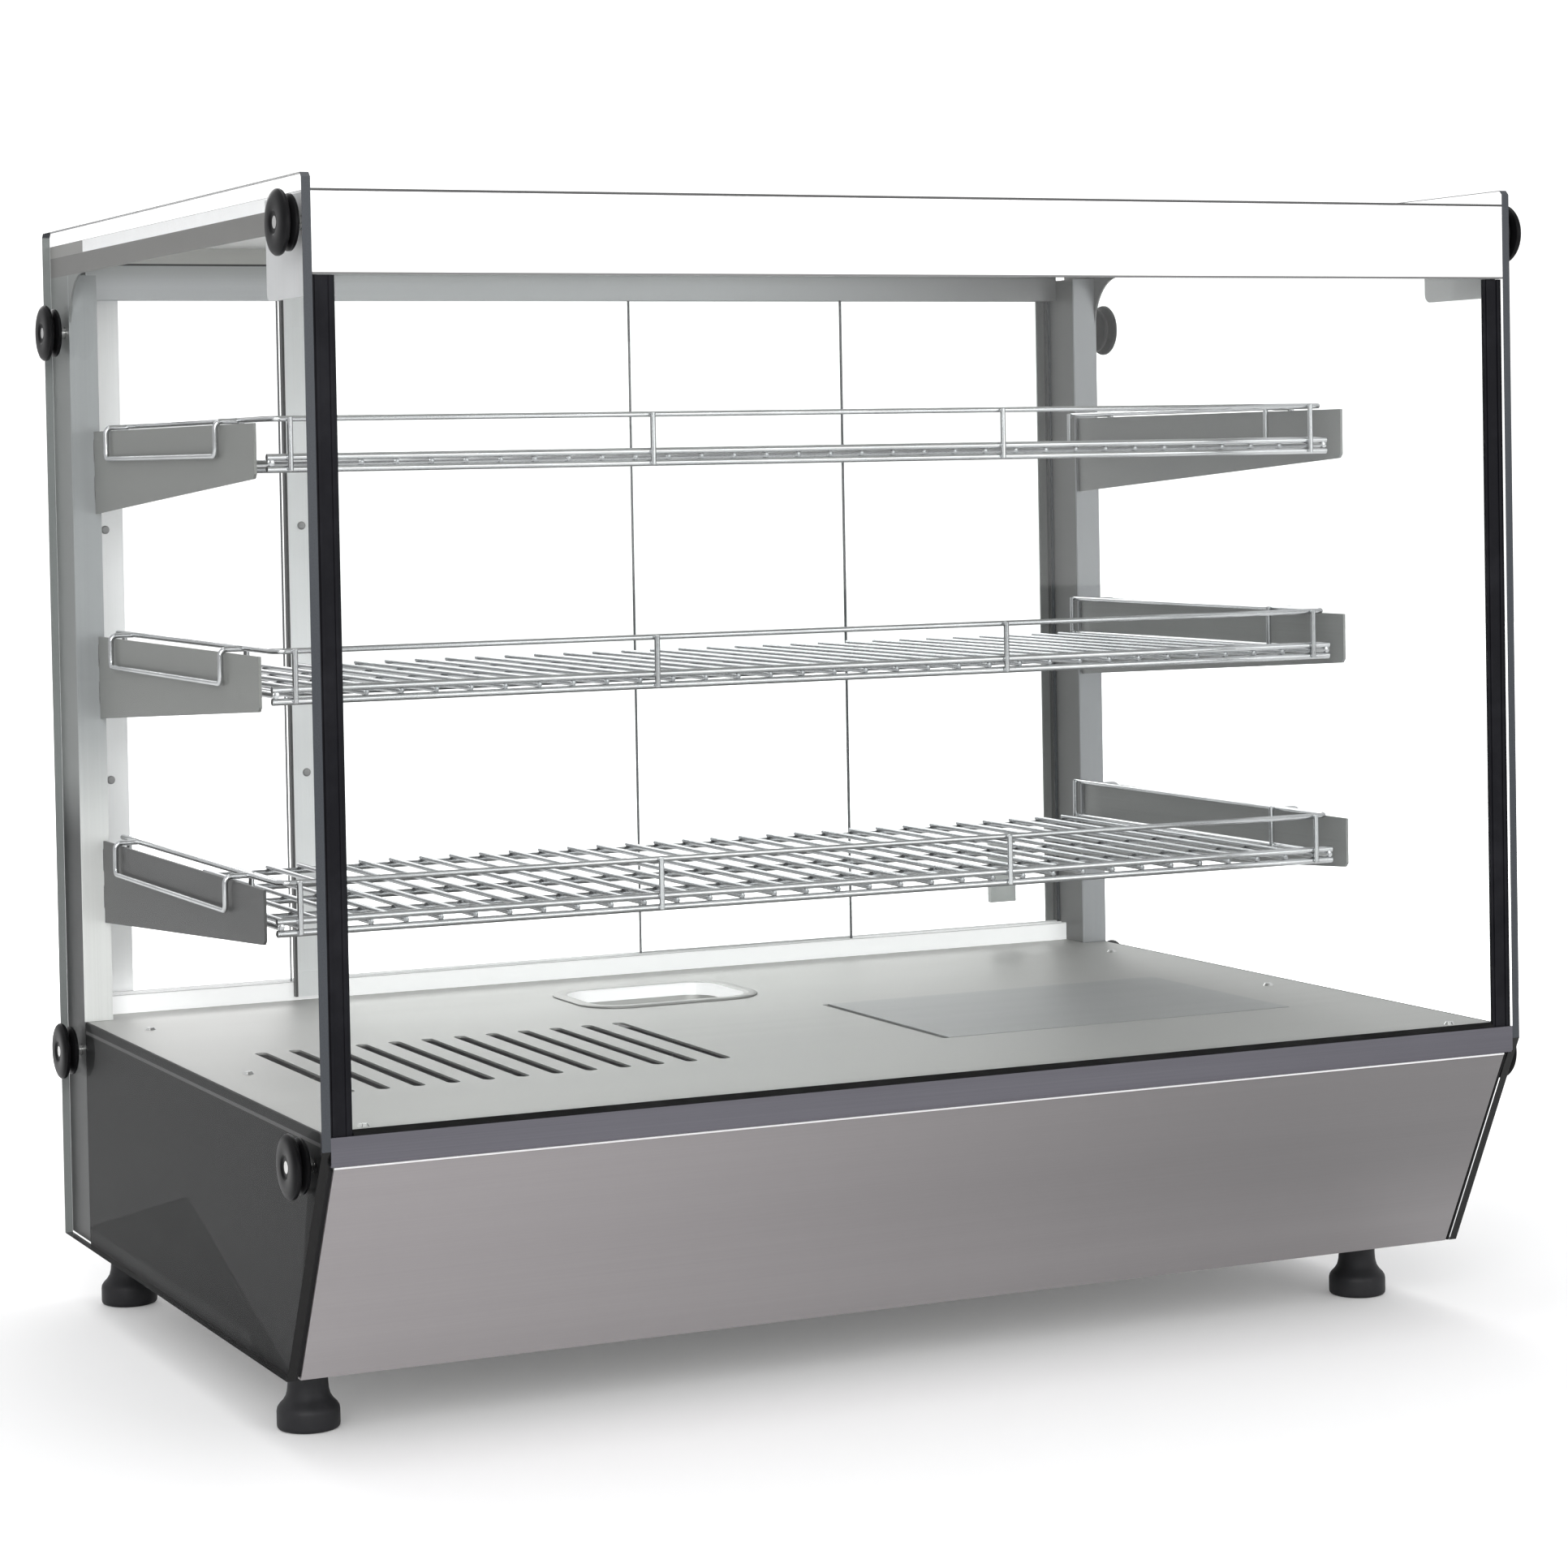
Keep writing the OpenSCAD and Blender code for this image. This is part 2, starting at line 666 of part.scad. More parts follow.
// A bent wire through points joined by runs along the axes
module bent_wire(pts, r, d) {
    last = len(pts) - 1;
    dir = [for (i = [0 : last - 1]) (pts[i + 1] - pts[i]) / norm(pts[i + 1] - pts[i])];
    for (i = [0 : last - 1])
        run_wire(pts[i] + (i > 0 ? r : 0) * dir[i], pts[i + 1] - (i < last - 1 ? r : 0) * dir[i], d);
    for (i = [1 : last - 1]) bend(pts[i], dir[i - 1], dir[i], r, d);
}

// One shelf: cross wires, grid wires on them, a gallery rail and hangers that hook over
// the brackets. Wires lie against each other, a weld deep; z is the upper edge of the brackets
module wire_shelf(z) {
    weld = 0.5;
    w = shelf_half;
    f = shelf_front;
    r = shelf_rear;
    zf = z - gallery_h;
    zg = zf + (frame_wire + grid_wire) / 2 - weld;
    zt = z + gap + grid_wire / 2;
    zr = zt + 0.4;
    over = frame_wire / 2;
    n = floor((w - 10) / grid_pitch);
    rows = 4;
    step = (r - f) / rows;
    lap = grid_wire - weld;
    hook_y = [f + 68, r - 40];
    hook_z = z - 21;
    color("silver") on_feet() {
        for (i = [0 : rows]) rod([-w - over, f + i * step, zf], [w + over, f + i * step, zf], frame_wire);
        rod([-w - over, f, 2 * zg - zf], [w + over, f, 2 * zg - zf], frame_wire);
        for (s = [-1, 1]) rod([s * w, f - 2, zg + 0.5], [s * w, r + 2, zg + 0.5], frame_wire);
        for (i = [-n : n]) rod([i * grid_pitch, f - 1, zg], [i * grid_pitch, r + 1, zg], grid_wire);
        bent_wire([[-w, r + 1, zr], [-w, f, zr], [w, f, zr], [w, r + 1, zr]], 9, grid_wire);
        for (x = [-w + 13, -w / 3, w / 3, w - 13]) rod([x, f - lap, zf - 1], [x, f - lap, zr + 1], grid_wire);
        for (s = [0, 1]) side(s) {
            for (y = [r - 4, hook_y[0] + 6]) rod([-w + lap, y, zf - 1], [-w + lap, y, zr + 1], grid_wire);
            bent_wire([[-w, hook_y[0], zt], [-hook_x, hook_y[0], zt], [-hook_x, hook_y[0], hook_z],
                       [-hook_x, hook_y[1], hook_z], [-hook_x, hook_y[1], zt], [-w, hook_y[1], zt]], 4.5, grid_wire);
        }
    }
}

module shelf_top() { wire_shelf(shelf_z); }
module shelf_middle() { wire_shelf(shelf_z - shelf_step); }
module shelf_bottom() { wire_shelf(shelf_z - 2 * shelf_step); }

// A tapered plate with two hooks that drop into the post's slots; z is its upper edge
module shelf_bracket(z) {
    hook = 4;
    along_x(-bracket_out, -bracket_in) {
        polygon([
            [post_y - gap, z], [post_y - bracket_l, z], [post_y - bracket_l, z - bracket_front_h + 3],
            [post_y - bracket_l + 3, z - bracket_front_h], [post_y - gap, z - bracket_rear_h]
        ]);
        for (dz = [-17, -45]) {
            rect([post_y - 1, z + dz], [post_y + sheet_t + gap + 3, z + dz + 8]);
            rect([post_y + sheet_t + gap, z + dz - hook], [post_y + sheet_t + gap + 3, z + dz + 8]);
        }
    }
}

module shelf_brackets(right) {
    color("gray") on_feet() side(right)
        for (i = [0 : 2]) shelf_bracket(shelf_z - i * shelf_step);
}

module shelf_brackets_left() { shelf_brackets(false); }
module shelf_brackets_right() { shelf_brackets(true); }

// ---------------------------------------------------------------- clamp knobs

module knob(right, i) {
    p = knob_points[i];
    neck = knob_r * 0.6;
    inner = knob_r * 0.86;
    edge = 2.2;
    color("black") on_feet() side(right) translate([-half_w - gap, p[0], p[1]]) rotate([0, -90, 0])
        rotate_extrude() difference() {
            union() {
                polygon([
                    [0, 0], [inner - 0.8, 0], [inner, 0.8], [inner, 2.4], [inner - 0.8, 3.2], [neck, 4.2],
                    [neck, 5.4], [knob_r - 2, 6.4], [knob_r, 6.4 + edge], [knob_r - 0.6, knob_l - 1.8],
                    [knob_r - 3, knob_l - 0.4], [knob_r - 6, knob_l], [0, knob_l]
                ]);
            }
            rect([-1, -1], [stud_r + run, knob_l + 1]);
        }
}

module knob_left_front_top() { knob(false, 0); }
module knob_left_rear_top() { knob(false, 1); }
module knob_left_rear_bottom() { knob(false, 2); }
module knob_left_front_bottom() { knob(false, 3); }
module knob_right_front_top() { knob(true, 0); }
module knob_right_rear_top() { knob(true, 1); }
module knob_right_rear_bottom() { knob(true, 2); }
module knob_right_front_bottom() { knob(true, 3); }

module knob_studs() {
    inner_faces = [glass_in - 3, sheet_in, sheet_in, sheet_in];
    head = 4;
    color("silver") on_feet() for (s = [0, 1], i = [0 : 3]) side(s)
        translate([-inner_faces[i] + head, knob_points[i][0], knob_points[i][1]]) rotate([0, -90, 0]) {
            cylinder(r = 6.5, h = head, $fn = 6);
            cylinder(r = stud_r, h = half_w + knob_l - 0.8 - inner_faces[i] + head);
        }
}

// ---------------------------------------------------------------- feet

module foot(x, y) {
    color("black") translate([x, y, 0]) rotate_extrude() polygon([
        [0, 0], [foot_r - 1.5, 0], [foot_r, 1.5], [foot_r, foot_h * 0.28], [foot_r - 3, foot_h * 0.42],
        [foot_r * 0.64, foot_h * 0.62], [foot_r * 0.62, foot_h * 0.85], [foot_r * 0.68, foot_h - gap],
        [foot_stud_r, foot_h - gap], [foot_stud_r, foot_h + 20], [foot_stud_r - 1, foot_h + 21], [0, foot_h + 21]
    ]);
}

module foot_front_left() { foot(-foot_x, foot_front_y); }
module foot_front_right() { foot(foot_x, foot_front_y); }
module foot_rear_left() { foot(-foot_x, foot_rear_y); }
module foot_rear_right() { foot(foot_x, foot_rear_y); }

// ---------------------------------------------------------------- services inside the base

module fan_housing() {
    r = fan_w / 2 - 4;
    color("dimgray") on_feet() translate([fan_x, fan_y, fan_z]) {
        difference() {
            translate([-fan_w / 2, -fan_w / 2, 0]) cube([fan_w, fan_w, fan_t]);
            translate([0, 0, 4]) cylinder(r = r, h = fan_t);
            translate([0, 0, -1]) difference() {
                cylinder(r = r - 2, h = 10);
                cylinder(r = 22, h = 10);
                for (a = [0, 90]) rotate([0, 0, a]) translate([-r, -4, 0]) cube([2 * r, 8, 10]);
            }
        }
        cylinder(r = 3, h = fan_t - 4);
        for (sx = [-1, 1], sy = [-1, 1]) translate([sx * (fan_w / 2 - 8), sy * (fan_w / 2 - 8), sheet_t - fan_z])
            cylinder(r = 5, h = fan_z - sheet_t + eps);
    }
}

module fan_rotor() {
    blades = 7;
    r = fan_w / 2 - 7;
    h = fan_t - 8;
    color("black") on_feet() translate([fan_x, fan_y, fan_z + 4.5]) difference() {
        union() {
            cylinder(r = 19, h = h);
            for (i = [0 : blades - 1]) rotate([0, 0, i * 360 / blades]) translate([16, 0, h / 2])
                rotate([38, 0, 0]) translate([0, -1, -12]) cube([r - 18, 2, 24]);
        }
        translate([0, 0, -1]) cylinder(r = 3 + run, h = h + 2);
    }
}

module heating_element() {
    r = 4;
    bend = 24;
    x0 = cover_x + 26;
    x1 = x0 + 224;
    y0 = cover_y + 32;
    z = 96;
    color("darkslategray") on_feet() {
        for (i = [0 : 3]) translate([x0, y0 + i * 2 * bend, z]) rotate([0, 90, 0]) cylinder(r = r, h = x1 - x0);
        for (i = [0, 2]) translate([x1, y0 + (2 * i + 1) * bend, z]) rotate([0, 0, -90])
            rotate_extrude(angle = 180) translate([bend, 0]) circle(r);
        translate([x0 + 30, y0 + 3 * bend, z]) rotate([0, 0, 90]) rotate_extrude(angle = 180) translate([bend, 0]) circle(r);
        for (x = [x0 + 60, x1 - 40]) block([x, y0 - 12, sheet_t], [x + 2, y0 + 6 * bend + 12, z + 10]);
    }
}

module thermostat_body() {
    color("ivory") on_feet() translate([dial_x, rear_y - sheet_t, dial_z]) rotate([-90, 0, 0]) {
        translate([-19, -19, -30]) cube([38, 38, 30]);
        cylinder(r = 3, h = sheet_t + 14);
    }
}

module thermostat_knob() {
    h = 16;
    color("black") on_feet() translate([dial_x, rear_y + 1, dial_z]) rotate([-90, 0, 0]) difference() {
        union() {
            cylinder(r = dial_r, h = 3);
            cylinder(r1 = dial_r - 2, r2 = dial_r - 4, h = h);
            translate([-2.5, -dial_r + 1, 0]) cube([5, 2 * dial_r - 2, h + 2]);
        }
        translate([0, 0, -1]) cylinder(r = 3 + run, h = h - 1);
    }
}

// Frame of one rocker switch: a flange on the panel and a box behind it
module switch_frame(x) {
    translate([x, rear_y, switch_z]) difference() {
        union() {
            translate([-16, 0, -13]) cube([32, 2, 26]);
            translate([-13.5, -20, -10.5]) cube([27, 21, 21]);
        }
        translate([-10.8, -17, -8.5]) cube([21.6, 30, 17]);
        translate([-13, rocker_y - rear_y, 0]) rotate([0, 90, 0]) cylinder(r = 1.6 + run, h = 26);
    }
}

module switch_frames() {
    color("black") on_feet() for (x = switch_x) switch_frame(x);
}

// A rocker in its off position
module rocker(x) {
    color("firebrick") on_feet() translate([x, rocker_y, switch_z]) rotate([-rocker_tilt, 0, 0]) {
        along_x(-10.3, 10.3) polygon([[-5, -3], [-5, 3], [3, 6], [10, 6.4], [8.4, 0], [10, -6.4], [3, -6]]);
        translate([-12.6, 0, 0]) rotate([0, 90, 0]) cylinder(r = 1.6, h = 25.2);
    }
}

module power_rocker() { rocker(switch_x[0]); }
module light_rocker() { rocker(switch_x[1]); }

module indicator_lens() {
    color("orange") on_feet() translate([lens_x, rear_y, switch_z]) rotate([-90, 0, 0]) {
        translate([0, 0, -14]) cylinder(r = 5, h = 14 + eps);
        cylinder(r1 = 7, r2 = 6, h = 2);
        translate([0, 0, 2]) cylinder(r1 = 5, r2 = 3, h = 2.5);
    }
}

module terminal_block() {
    color("ivory") on_feet() translate([230, 215, sheet_t]) difference() {
        cube([70, 24, 20]);
        for (i = [0 : 4]) translate([9 + i * 13, 12, 8]) cylinder(r = 3, h = 13);
    }
}

module cable_gland() {
    color("black") on_feet() translate([gland_x, rear_y, gland_z]) rotate([-90, 0, 0]) difference() {
        union() {
            cylinder(r = 12, h = 5, $fn = 6);
            cylinder(r = 9.5, h = 12);
            translate([0, 0, -8]) cylinder(r = 8, h = 9);
            translate([0, 0, -sheet_t - 5]) cylinder(r = 12, h = 5, $fn = 6);
        }
        translate([0, 0, -9]) cylinder(r = gland_r, h = 22);
    }
}

base_pan();
side_panel_left();
side_panel_right();
front_panel();
front_rail();
front_seal();
rear_panel();
rear_screws();
deck_plate();
water_tray();
floor_cover();
deck_screws();
front_glass();
end_glass_left();
end_glass_right();
corner_strip_left();
corner_strip_right();
canopy_top();
front_fascia();
canopy_bracket_left();
canopy_bracket_right();
rear_top_rail();
rear_post_left();
rear_post_right();
door_track();
door_glass_left();
door_glass_right();
door_handle_left();
door_handle_right();
shelf_top();
shelf_middle();
shelf_bottom();
shelf_brackets_left();
shelf_brackets_right();
knob_left_front_top();
knob_left_rear_top();
knob_left_rear_bottom();
knob_left_front_bottom();
knob_right_front_top();
knob_right_rear_top();
knob_right_rear_bottom();
knob_right_front_bottom();
knob_studs();
foot_front_left();
foot_front_right();
foot_rear_left();
foot_rear_right();
lamp_tube();
lamp_holders();
fan_housing();
fan_rotor();
heating_element();
thermostat_body();
thermostat_knob();
switch_frames();
power_rocker();
light_rocker();
indicator_lens();
terminal_block();
cable_gland();
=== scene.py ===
import json
import math

import bmesh
import bpy
from mathutils import Matrix, Vector

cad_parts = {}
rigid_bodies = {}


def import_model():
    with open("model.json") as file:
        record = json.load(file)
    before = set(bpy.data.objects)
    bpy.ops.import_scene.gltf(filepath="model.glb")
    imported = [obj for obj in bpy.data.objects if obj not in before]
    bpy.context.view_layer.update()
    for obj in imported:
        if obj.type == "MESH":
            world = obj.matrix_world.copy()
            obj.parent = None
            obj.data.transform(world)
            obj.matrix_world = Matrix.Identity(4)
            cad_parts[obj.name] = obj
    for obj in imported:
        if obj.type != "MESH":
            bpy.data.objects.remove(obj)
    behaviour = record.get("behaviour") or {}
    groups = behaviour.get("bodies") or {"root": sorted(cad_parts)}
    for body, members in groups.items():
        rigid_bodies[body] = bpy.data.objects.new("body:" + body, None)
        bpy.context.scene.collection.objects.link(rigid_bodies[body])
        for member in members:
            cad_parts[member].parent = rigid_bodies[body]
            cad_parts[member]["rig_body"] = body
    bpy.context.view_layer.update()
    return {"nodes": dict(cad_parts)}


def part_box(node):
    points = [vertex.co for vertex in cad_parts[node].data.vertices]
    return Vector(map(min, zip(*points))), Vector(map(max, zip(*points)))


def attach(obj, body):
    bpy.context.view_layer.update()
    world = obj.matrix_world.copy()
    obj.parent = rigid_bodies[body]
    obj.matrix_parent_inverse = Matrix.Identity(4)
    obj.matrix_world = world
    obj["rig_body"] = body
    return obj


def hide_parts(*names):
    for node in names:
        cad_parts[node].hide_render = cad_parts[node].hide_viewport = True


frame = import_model()
nodes = frame["nodes"]
scene = bpy.context.scene
MM = 0.001

# ------------------------------------------------------------------ camera

CAMERA_PLACE = Vector((-1.1957, -2.5998, 0.6334))
CAMERA_YAW = 0.4381
CAMERA_PITCH = -0.0277
CAMERA_ROLL = -0.0183
CAMERA_LENS = 88.70
CAMERA_SHIFT = -0.1377


def make_camera():
    """The camera, turned from +Y towards +X by the yaw, then pitched and rolled."""
    forward = Vector((math.sin(CAMERA_YAW) * math.cos(CAMERA_PITCH),
                      math.cos(CAMERA_YAW) * math.cos(CAMERA_PITCH), math.sin(CAMERA_PITCH)))
    level = Vector((math.cos(CAMERA_YAW), -math.sin(CAMERA_YAW), 0))
    above = level.cross(forward)
    right = level * math.cos(CAMERA_ROLL) + above * math.sin(CAMERA_ROLL)
    up = above * math.cos(CAMERA_ROLL) - level * math.sin(CAMERA_ROLL)
    data = bpy.data.cameras.new("camera")
    data.lens = CAMERA_LENS
    data.sensor_width = 36
    data.shift_y = CAMERA_SHIFT
    data.clip_start = 0.05
    data.clip_end = 60
    data.dof.use_dof = False
    camera = bpy.data.objects.new("camera", data)
    scene.collection.objects.link(camera)
    turn = Matrix((right, up, -forward)).transposed().to_4x4()
    camera.matrix_world = Matrix.Translation(CAMERA_PLACE) @ turn
    scene.camera = camera


make_camera()
scene.view_settings.view_transform = "Standard"


# ------------------------------------------------------------------ shader expressions

class Value:
    """A shader socket that takes part in Python expressions."""

    def __init__(self, tree, socket):
        self.tree = tree
        self.socket = socket

    def _math(self, operation, *terms):
        return add_node(self.tree, "ShaderNodeMath", 0, {"operation": operation}, dict(enumerate(terms)))

    def __add__(self, other):
        return self._math("ADD", self, other)

    def __radd__(self, other):
        return self._math("ADD", other, self)

    def __mul__(self, other):
        return self._math("MULTIPLY", self, other)

    def __rmul__(self, other):
        return self._math("MULTIPLY", other, self)

    def __pow__(self, other):
        return self._math("POWER", self, other)

    def step(self, low, high):
        """0 at low and before it, 1 at high and past it, smooth between."""
        return add_node(self.tree, "ShaderNodeMapRange", "Result", {"interpolation_type": "SMOOTHSTEP"},
                        Value=self, From_Min=low, From_Max=high)

    def clamped(self):
        return self._math("MINIMUM", self._math("MAXIMUM", self, 0.0), 1.0)

    def absolute(self):
        return self._math("ABSOLUTE", self)


def fill_socket(tree, socket, value):
    """Links a Value to the socket, or sets it; a colour may leave out its alpha."""
    if isinstance(value, Value):
        tree.links.new(value.socket, socket)
    elif socket.type == "RGBA":
        socket.default_value = (*value[:3], 1)
    else:
        socket.default_value = value


def add_node(tree, kind, output=0, settings=None, numbered=None, **inputs):
    """Any node; an input goes by its name, with _ for a space, or by its number in numbered."""
    node = tree.nodes.new(kind)
    for key, value in (settings or {}).items():
        setattr(node, key, value)
    for key, value in inputs.items():
        fill_socket(tree, node.inputs[key.replace("_", " ")], value)
    for number, value in (numbered or {}).items():
        fill_socket(tree, node.inputs[number], value)
    return Value(tree, node.outputs[output]) if node.outputs else None


def mix_colour(amount, first, second):
    """A blend of two colours; amount is a Value."""
    return add_node(amount.tree, "ShaderNodeMix", 2, {"data_type": "RGBA"}, {0: amount, 6: first, 7: second})


class Finish:
    """A material whose Principled shader takes Values by input name."""

    def __init__(self, name, **constants):
        self.material = bpy.data.materials.new(name)
        self.material.use_nodes = True
        self.tree = self.material.node_tree
        self.shader = self.tree.nodes["Principled BSDF"]
        self.set(**constants)

    def set(self, **inputs):
        for key, value in inputs.items():
            fill_socket(self.tree, self.shader.inputs[key.replace("_", " ")], value)

    def place(self, stretch):
        """Object coordinates, in metres, multiplied by stretch."""
        where = add_node(self.tree, "ShaderNodeTexCoord", "Object")
        return add_node(self.tree, "ShaderNodeVectorMath", 0, {"operation": "MULTIPLY"},
                        {0: where, 1: stretch})

    def axis(self, letter):
        where = add_node(self.tree, "ShaderNodeTexCoord", "Object")
        return add_node(self.tree, "ShaderNodeSeparateXYZ", letter, Vector=where)

    def noise(self, stretch, scale, detail, roughness):
        """Noise from 0 to 1."""
        return add_node(self.tree, "ShaderNodeTexNoise", "Fac", Vector=self.place(stretch), Scale=scale,
                        Detail=detail, Roughness=roughness)

    def bump(self, height, strength, distance):
        return add_node(self.tree, "ShaderNodeBump", "Normal", Height=height, Strength=strength,
                        Distance=distance)


SOFT_EDGE = 0.1 * MM
PAST = 1 * MM


def between(letter, low, high):
    """A mask that is 1 where the coordinate lies between low and high, in metres."""
    def mask(finish):
        place = finish.axis(letter)
        return place.step(low - SOFT_EDGE, low + SOFT_EDGE) * place.step(high + SOFT_EDGE, high - SOFT_EDGE)
    return mask


def both(first, second):
    """A mask that is 1 where both masks are."""
    return lambda finish: first(finish) * second(finish)


def either_side(letter, near, far):
    """A mask that is 1 where the coordinate is near to far away from 0, on both sides."""
    def mask(finish):
        place = finish.axis(letter).absolute()
        return place.step(near - SOFT_EDGE, near + SOFT_EDGE) * place.step(far + SOFT_EDGE, far - SOFT_EDGE)
    return mask


def ramp(letter, start, end, amount=1.0):
    """A mask that grows from 0 at start to amount at end, in metres."""
    return lambda finish: finish.axis(letter).step(start, end) * amount


def brushed(name, colour, grain, roughness, streak, metallic=1.0, patches=(), painted_glow=0.0):
    """Brushed sheet metal; grain is the strokes' axis, and each patch is a mask and its colour. Any glow it
    is given is painted light.
    """
    finish = Finish(name, Metallic=metallic)
    fine = {"X": (3, 900, 900), "Y": (900, 3, 900), "Z": (900, 900, 3)}[grain]
    broad = {"X": (1, 60, 60), "Y": (60, 1, 60), "Z": (60, 60, 1)}[grain]
    strokes = finish.noise(fine, 1.0, 4.0, 0.6)
    bands = finish.noise(broad, 1.0, 2.0, 0.5)
    cloud = finish.noise((1, 1, 1), 5.0, 3.0, 0.6)
    tone = (strokes * 0.5 + bands * 0.3 + cloud * 0.2).step(0.32, 0.68)

    def shaded(base):
        return mix_colour(tone, tuple(c * (1 - streak) for c in base),
                          tuple(min(c * (1 + streak), 1) for c in base))

    paint = shaded(colour)
    for mask, patch in patches:
        paint = mix_colour(mask(finish), paint, shaded(patch))
    finish.set(Base_Color=paint, Emission_Color=paint, Emission_Strength=painted_glow,
               Roughness=(roughness - 0.06 + strokes * 0.08 + cloud * 0.06),
               Normal=finish.bump(strokes, 0.25, 0.00004))
    return finish.material


def painted(name, colour, roughness, coat, texture, scale=700.0, patches=(), gloss=0.5, painted_glow=0.0):
    """Powder-coated sheet metal with a faint orange-peel surface. Any glow it is given is painted light."""
    finish = Finish(name, Coat_Weight=coat, Coat_Roughness=0.15, Specular_IOR_Level=gloss)
    grain = finish.noise((1, 1, 1), scale, 2.0, 0.5)
    cloud = finish.noise((1, 1, 1), 4.0, 3.0, 0.6)
    tone = cloud.step(0.3, 0.7)
    paint = mix_colour(tone, tuple(c * 0.94 for c in colour), tuple(min(c * 1.04, 1) for c in colour))
    for mask, patch in patches:
        paint = mix_colour(mask(finish), paint, mix_colour(tone, tuple(c * 0.94 for c in patch), patch))
    finish.set(Base_Color=paint, Emission_Color=paint, Emission_Strength=painted_glow,
               Roughness=(roughness - 0.05 + grain * 0.05 + cloud * 0.05),
               Normal=finish.bump(grain, texture, 0.0001))
    return finish.material


def fascia_enamel(name, lip_top):
    """White enamel with painted shade along its lower edge up to lip_top: a dark grey band for the shadowed
    underside of the lower lip.
    """
    finish = Finish(name, Coat_Weight=0.2, Coat_Roughness=0.15)
    cloud = finish.noise((1, 1, 1), 4.0, 3.0, 0.6)
    grain = finish.noise((1, 1, 1), 700.0, 2.0, 0.5)
    white = mix_colour(cloud, (0.91, 0.91, 0.91), (0.95, 0.95, 0.95))
    # Painted shade: the enamel turns dark grey below lip_top.
    below = finish.axis("Z").step(lip_top + 0.0002, lip_top - 0.0002)
    finish.set(Base_Color=mix_colour(below, white, (0.12, 0.12, 0.12)),
               Roughness=(0.26 + grain * 0.05 + cloud * 0.04), Normal=finish.bump(grain, 0.05, 0.0001))
    return finish.material


def moulded(name, colour, roughness, texture=0.3, gloss=0.5):
    """Moulded plastic or rubber with a fine spark-eroded grain."""
    finish = Finish(name, Specular_IOR_Level=gloss)
    grain = finish.noise((1, 1, 1), 1500.0, 3.0, 0.6)
    dust = finish.noise((1, 1, 1), 30.0, 4.0, 0.6)
    light = tuple(min(c * 1.35 + 0.004, 1) for c in colour)
    finish.set(Base_Color=mix_colour(dust.step(0.35, 0.75), colour, light),
               Roughness=(roughness - 0.04 + grain * 0.06 + dust * 0.05),
               Normal=finish.bump(grain, texture, 0.00005))
    return finish.material


def chromed(name, colour, roughness):
    """Nickel-chromed wire: bright, with faint weld tint and fine draw marks."""
    finish = Finish(name, Metallic=1.0)
    marks = finish.noise((1, 1, 1), 220.0, 3.0, 0.6)
    tint = finish.noise((1, 1, 1), 12.0, 2.0, 0.5)
    dark = tuple(c * 0.82 for c in colour)
    finish.set(Base_Color=mix_colour(tint.step(0.35, 0.7), colour, dark),
               Roughness=(roughness + marks * 0.08),
               Normal=finish.bump(marks, 0.1, 0.00005))
    return finish.material


def pane(name, tint, gloss):
    """Clear float glass: see-through, with a mirror film that grows at grazing angles."""
    material = bpy.data.materials.new(name)
    material.use_nodes = True
    tree = material.node_tree
    tree.nodes.clear()
    where = add_node(tree, "ShaderNodeTexCoord", "Object")
    smear = add_node(tree, "ShaderNodeTexNoise", "Fac", Vector=where, Scale=6.0, Detail=4.0, Roughness=0.6)
    facing = add_node(tree, "ShaderNodeLayerWeight", "Facing", Blend=0.5)
    grazing = 0.04 + facing ** 5.0 * 0.8
    clear = add_node(tree, "ShaderNodeBsdfTransparent", Color=tint)
    film = add_node(tree, "ShaderNodeBsdfGlossy", Color=(1, 1, 1), Roughness=(0.01 + smear * 0.02))
    amount = (grazing * gloss * (0.9 + smear * 0.1)).clamped()
    both_lobes = add_node(tree, "ShaderNodeMixShader", numbered={0: amount, 1: clear, 2: film})
    add_node(tree, "ShaderNodeOutputMaterial", Surface=both_lobes)
    return material


def glass_rim(name, dark, light, kink=None):
    """Ground glass edge, a little rough, and almost black below the kink: painted shade for the dark base
    behind it.
    """
    finish = Finish(name, Specular_IOR_Level=0.3)
    grind = finish.noise((40, 40, 40), 30.0, 3.0, 0.5)
    paint = mix_colour(grind, dark, light)
    if kink is not None:
        # Painted shade below the kink.
        paint = mix_colour(between("Z", 0, kink)(finish), paint, (0.004, 0.004, 0.004))
    finish.set(Base_Color=paint,
               Roughness=(0.12 + grind * 0.15), Normal=finish.bump(grind, 0.2, 0.0001))
    return finish.material


def panel_steel():
    """The raked panel's steel, with painted light: darker towards the right, paler towards the bottom, and a
    painted highlight along its folded top edge.
    """
    low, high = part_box("front_panel")
    return brushed("front_steel", (0.37, 0.35, 0.355), "X", 0.42, 0.03, 0.8,
                   # Painted light: the darkening to the right, the paler bottom and the bright top line.
                   patches=[(ramp("X", low.x, high.x), (0.22, 0.212, 0.214)),
                            (ramp("Z", high.z - 60 * MM, low.z, 0.4), (0.44, 0.42, 0.425)),
                            (between("Z", high.z - 2.4 * MM, high.z + PAST), (1.0, 1.0, 1.0))])


def side_coating():
    """Charcoal paint with a lighter line near the side panels' top edge: a painted highlight on the fold
    there.
    """
    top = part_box("side_panel_left")[1].z
    return painted("charcoal_coating", (0.017, 0.017, 0.0175), 0.55, 0.0, 0.02, scale=90.0, gloss=0.1,
                   # The lighter band is a painted highlight.
                   patches=[(between("Z", top - 9 * MM, top - 6.5 * MM), (0.10, 0.10, 0.10))])


POST_DEPTH = 51.2 * MM
POST_WIDTH = 21.5 * MM
POST_WALL = 1.6 * MM


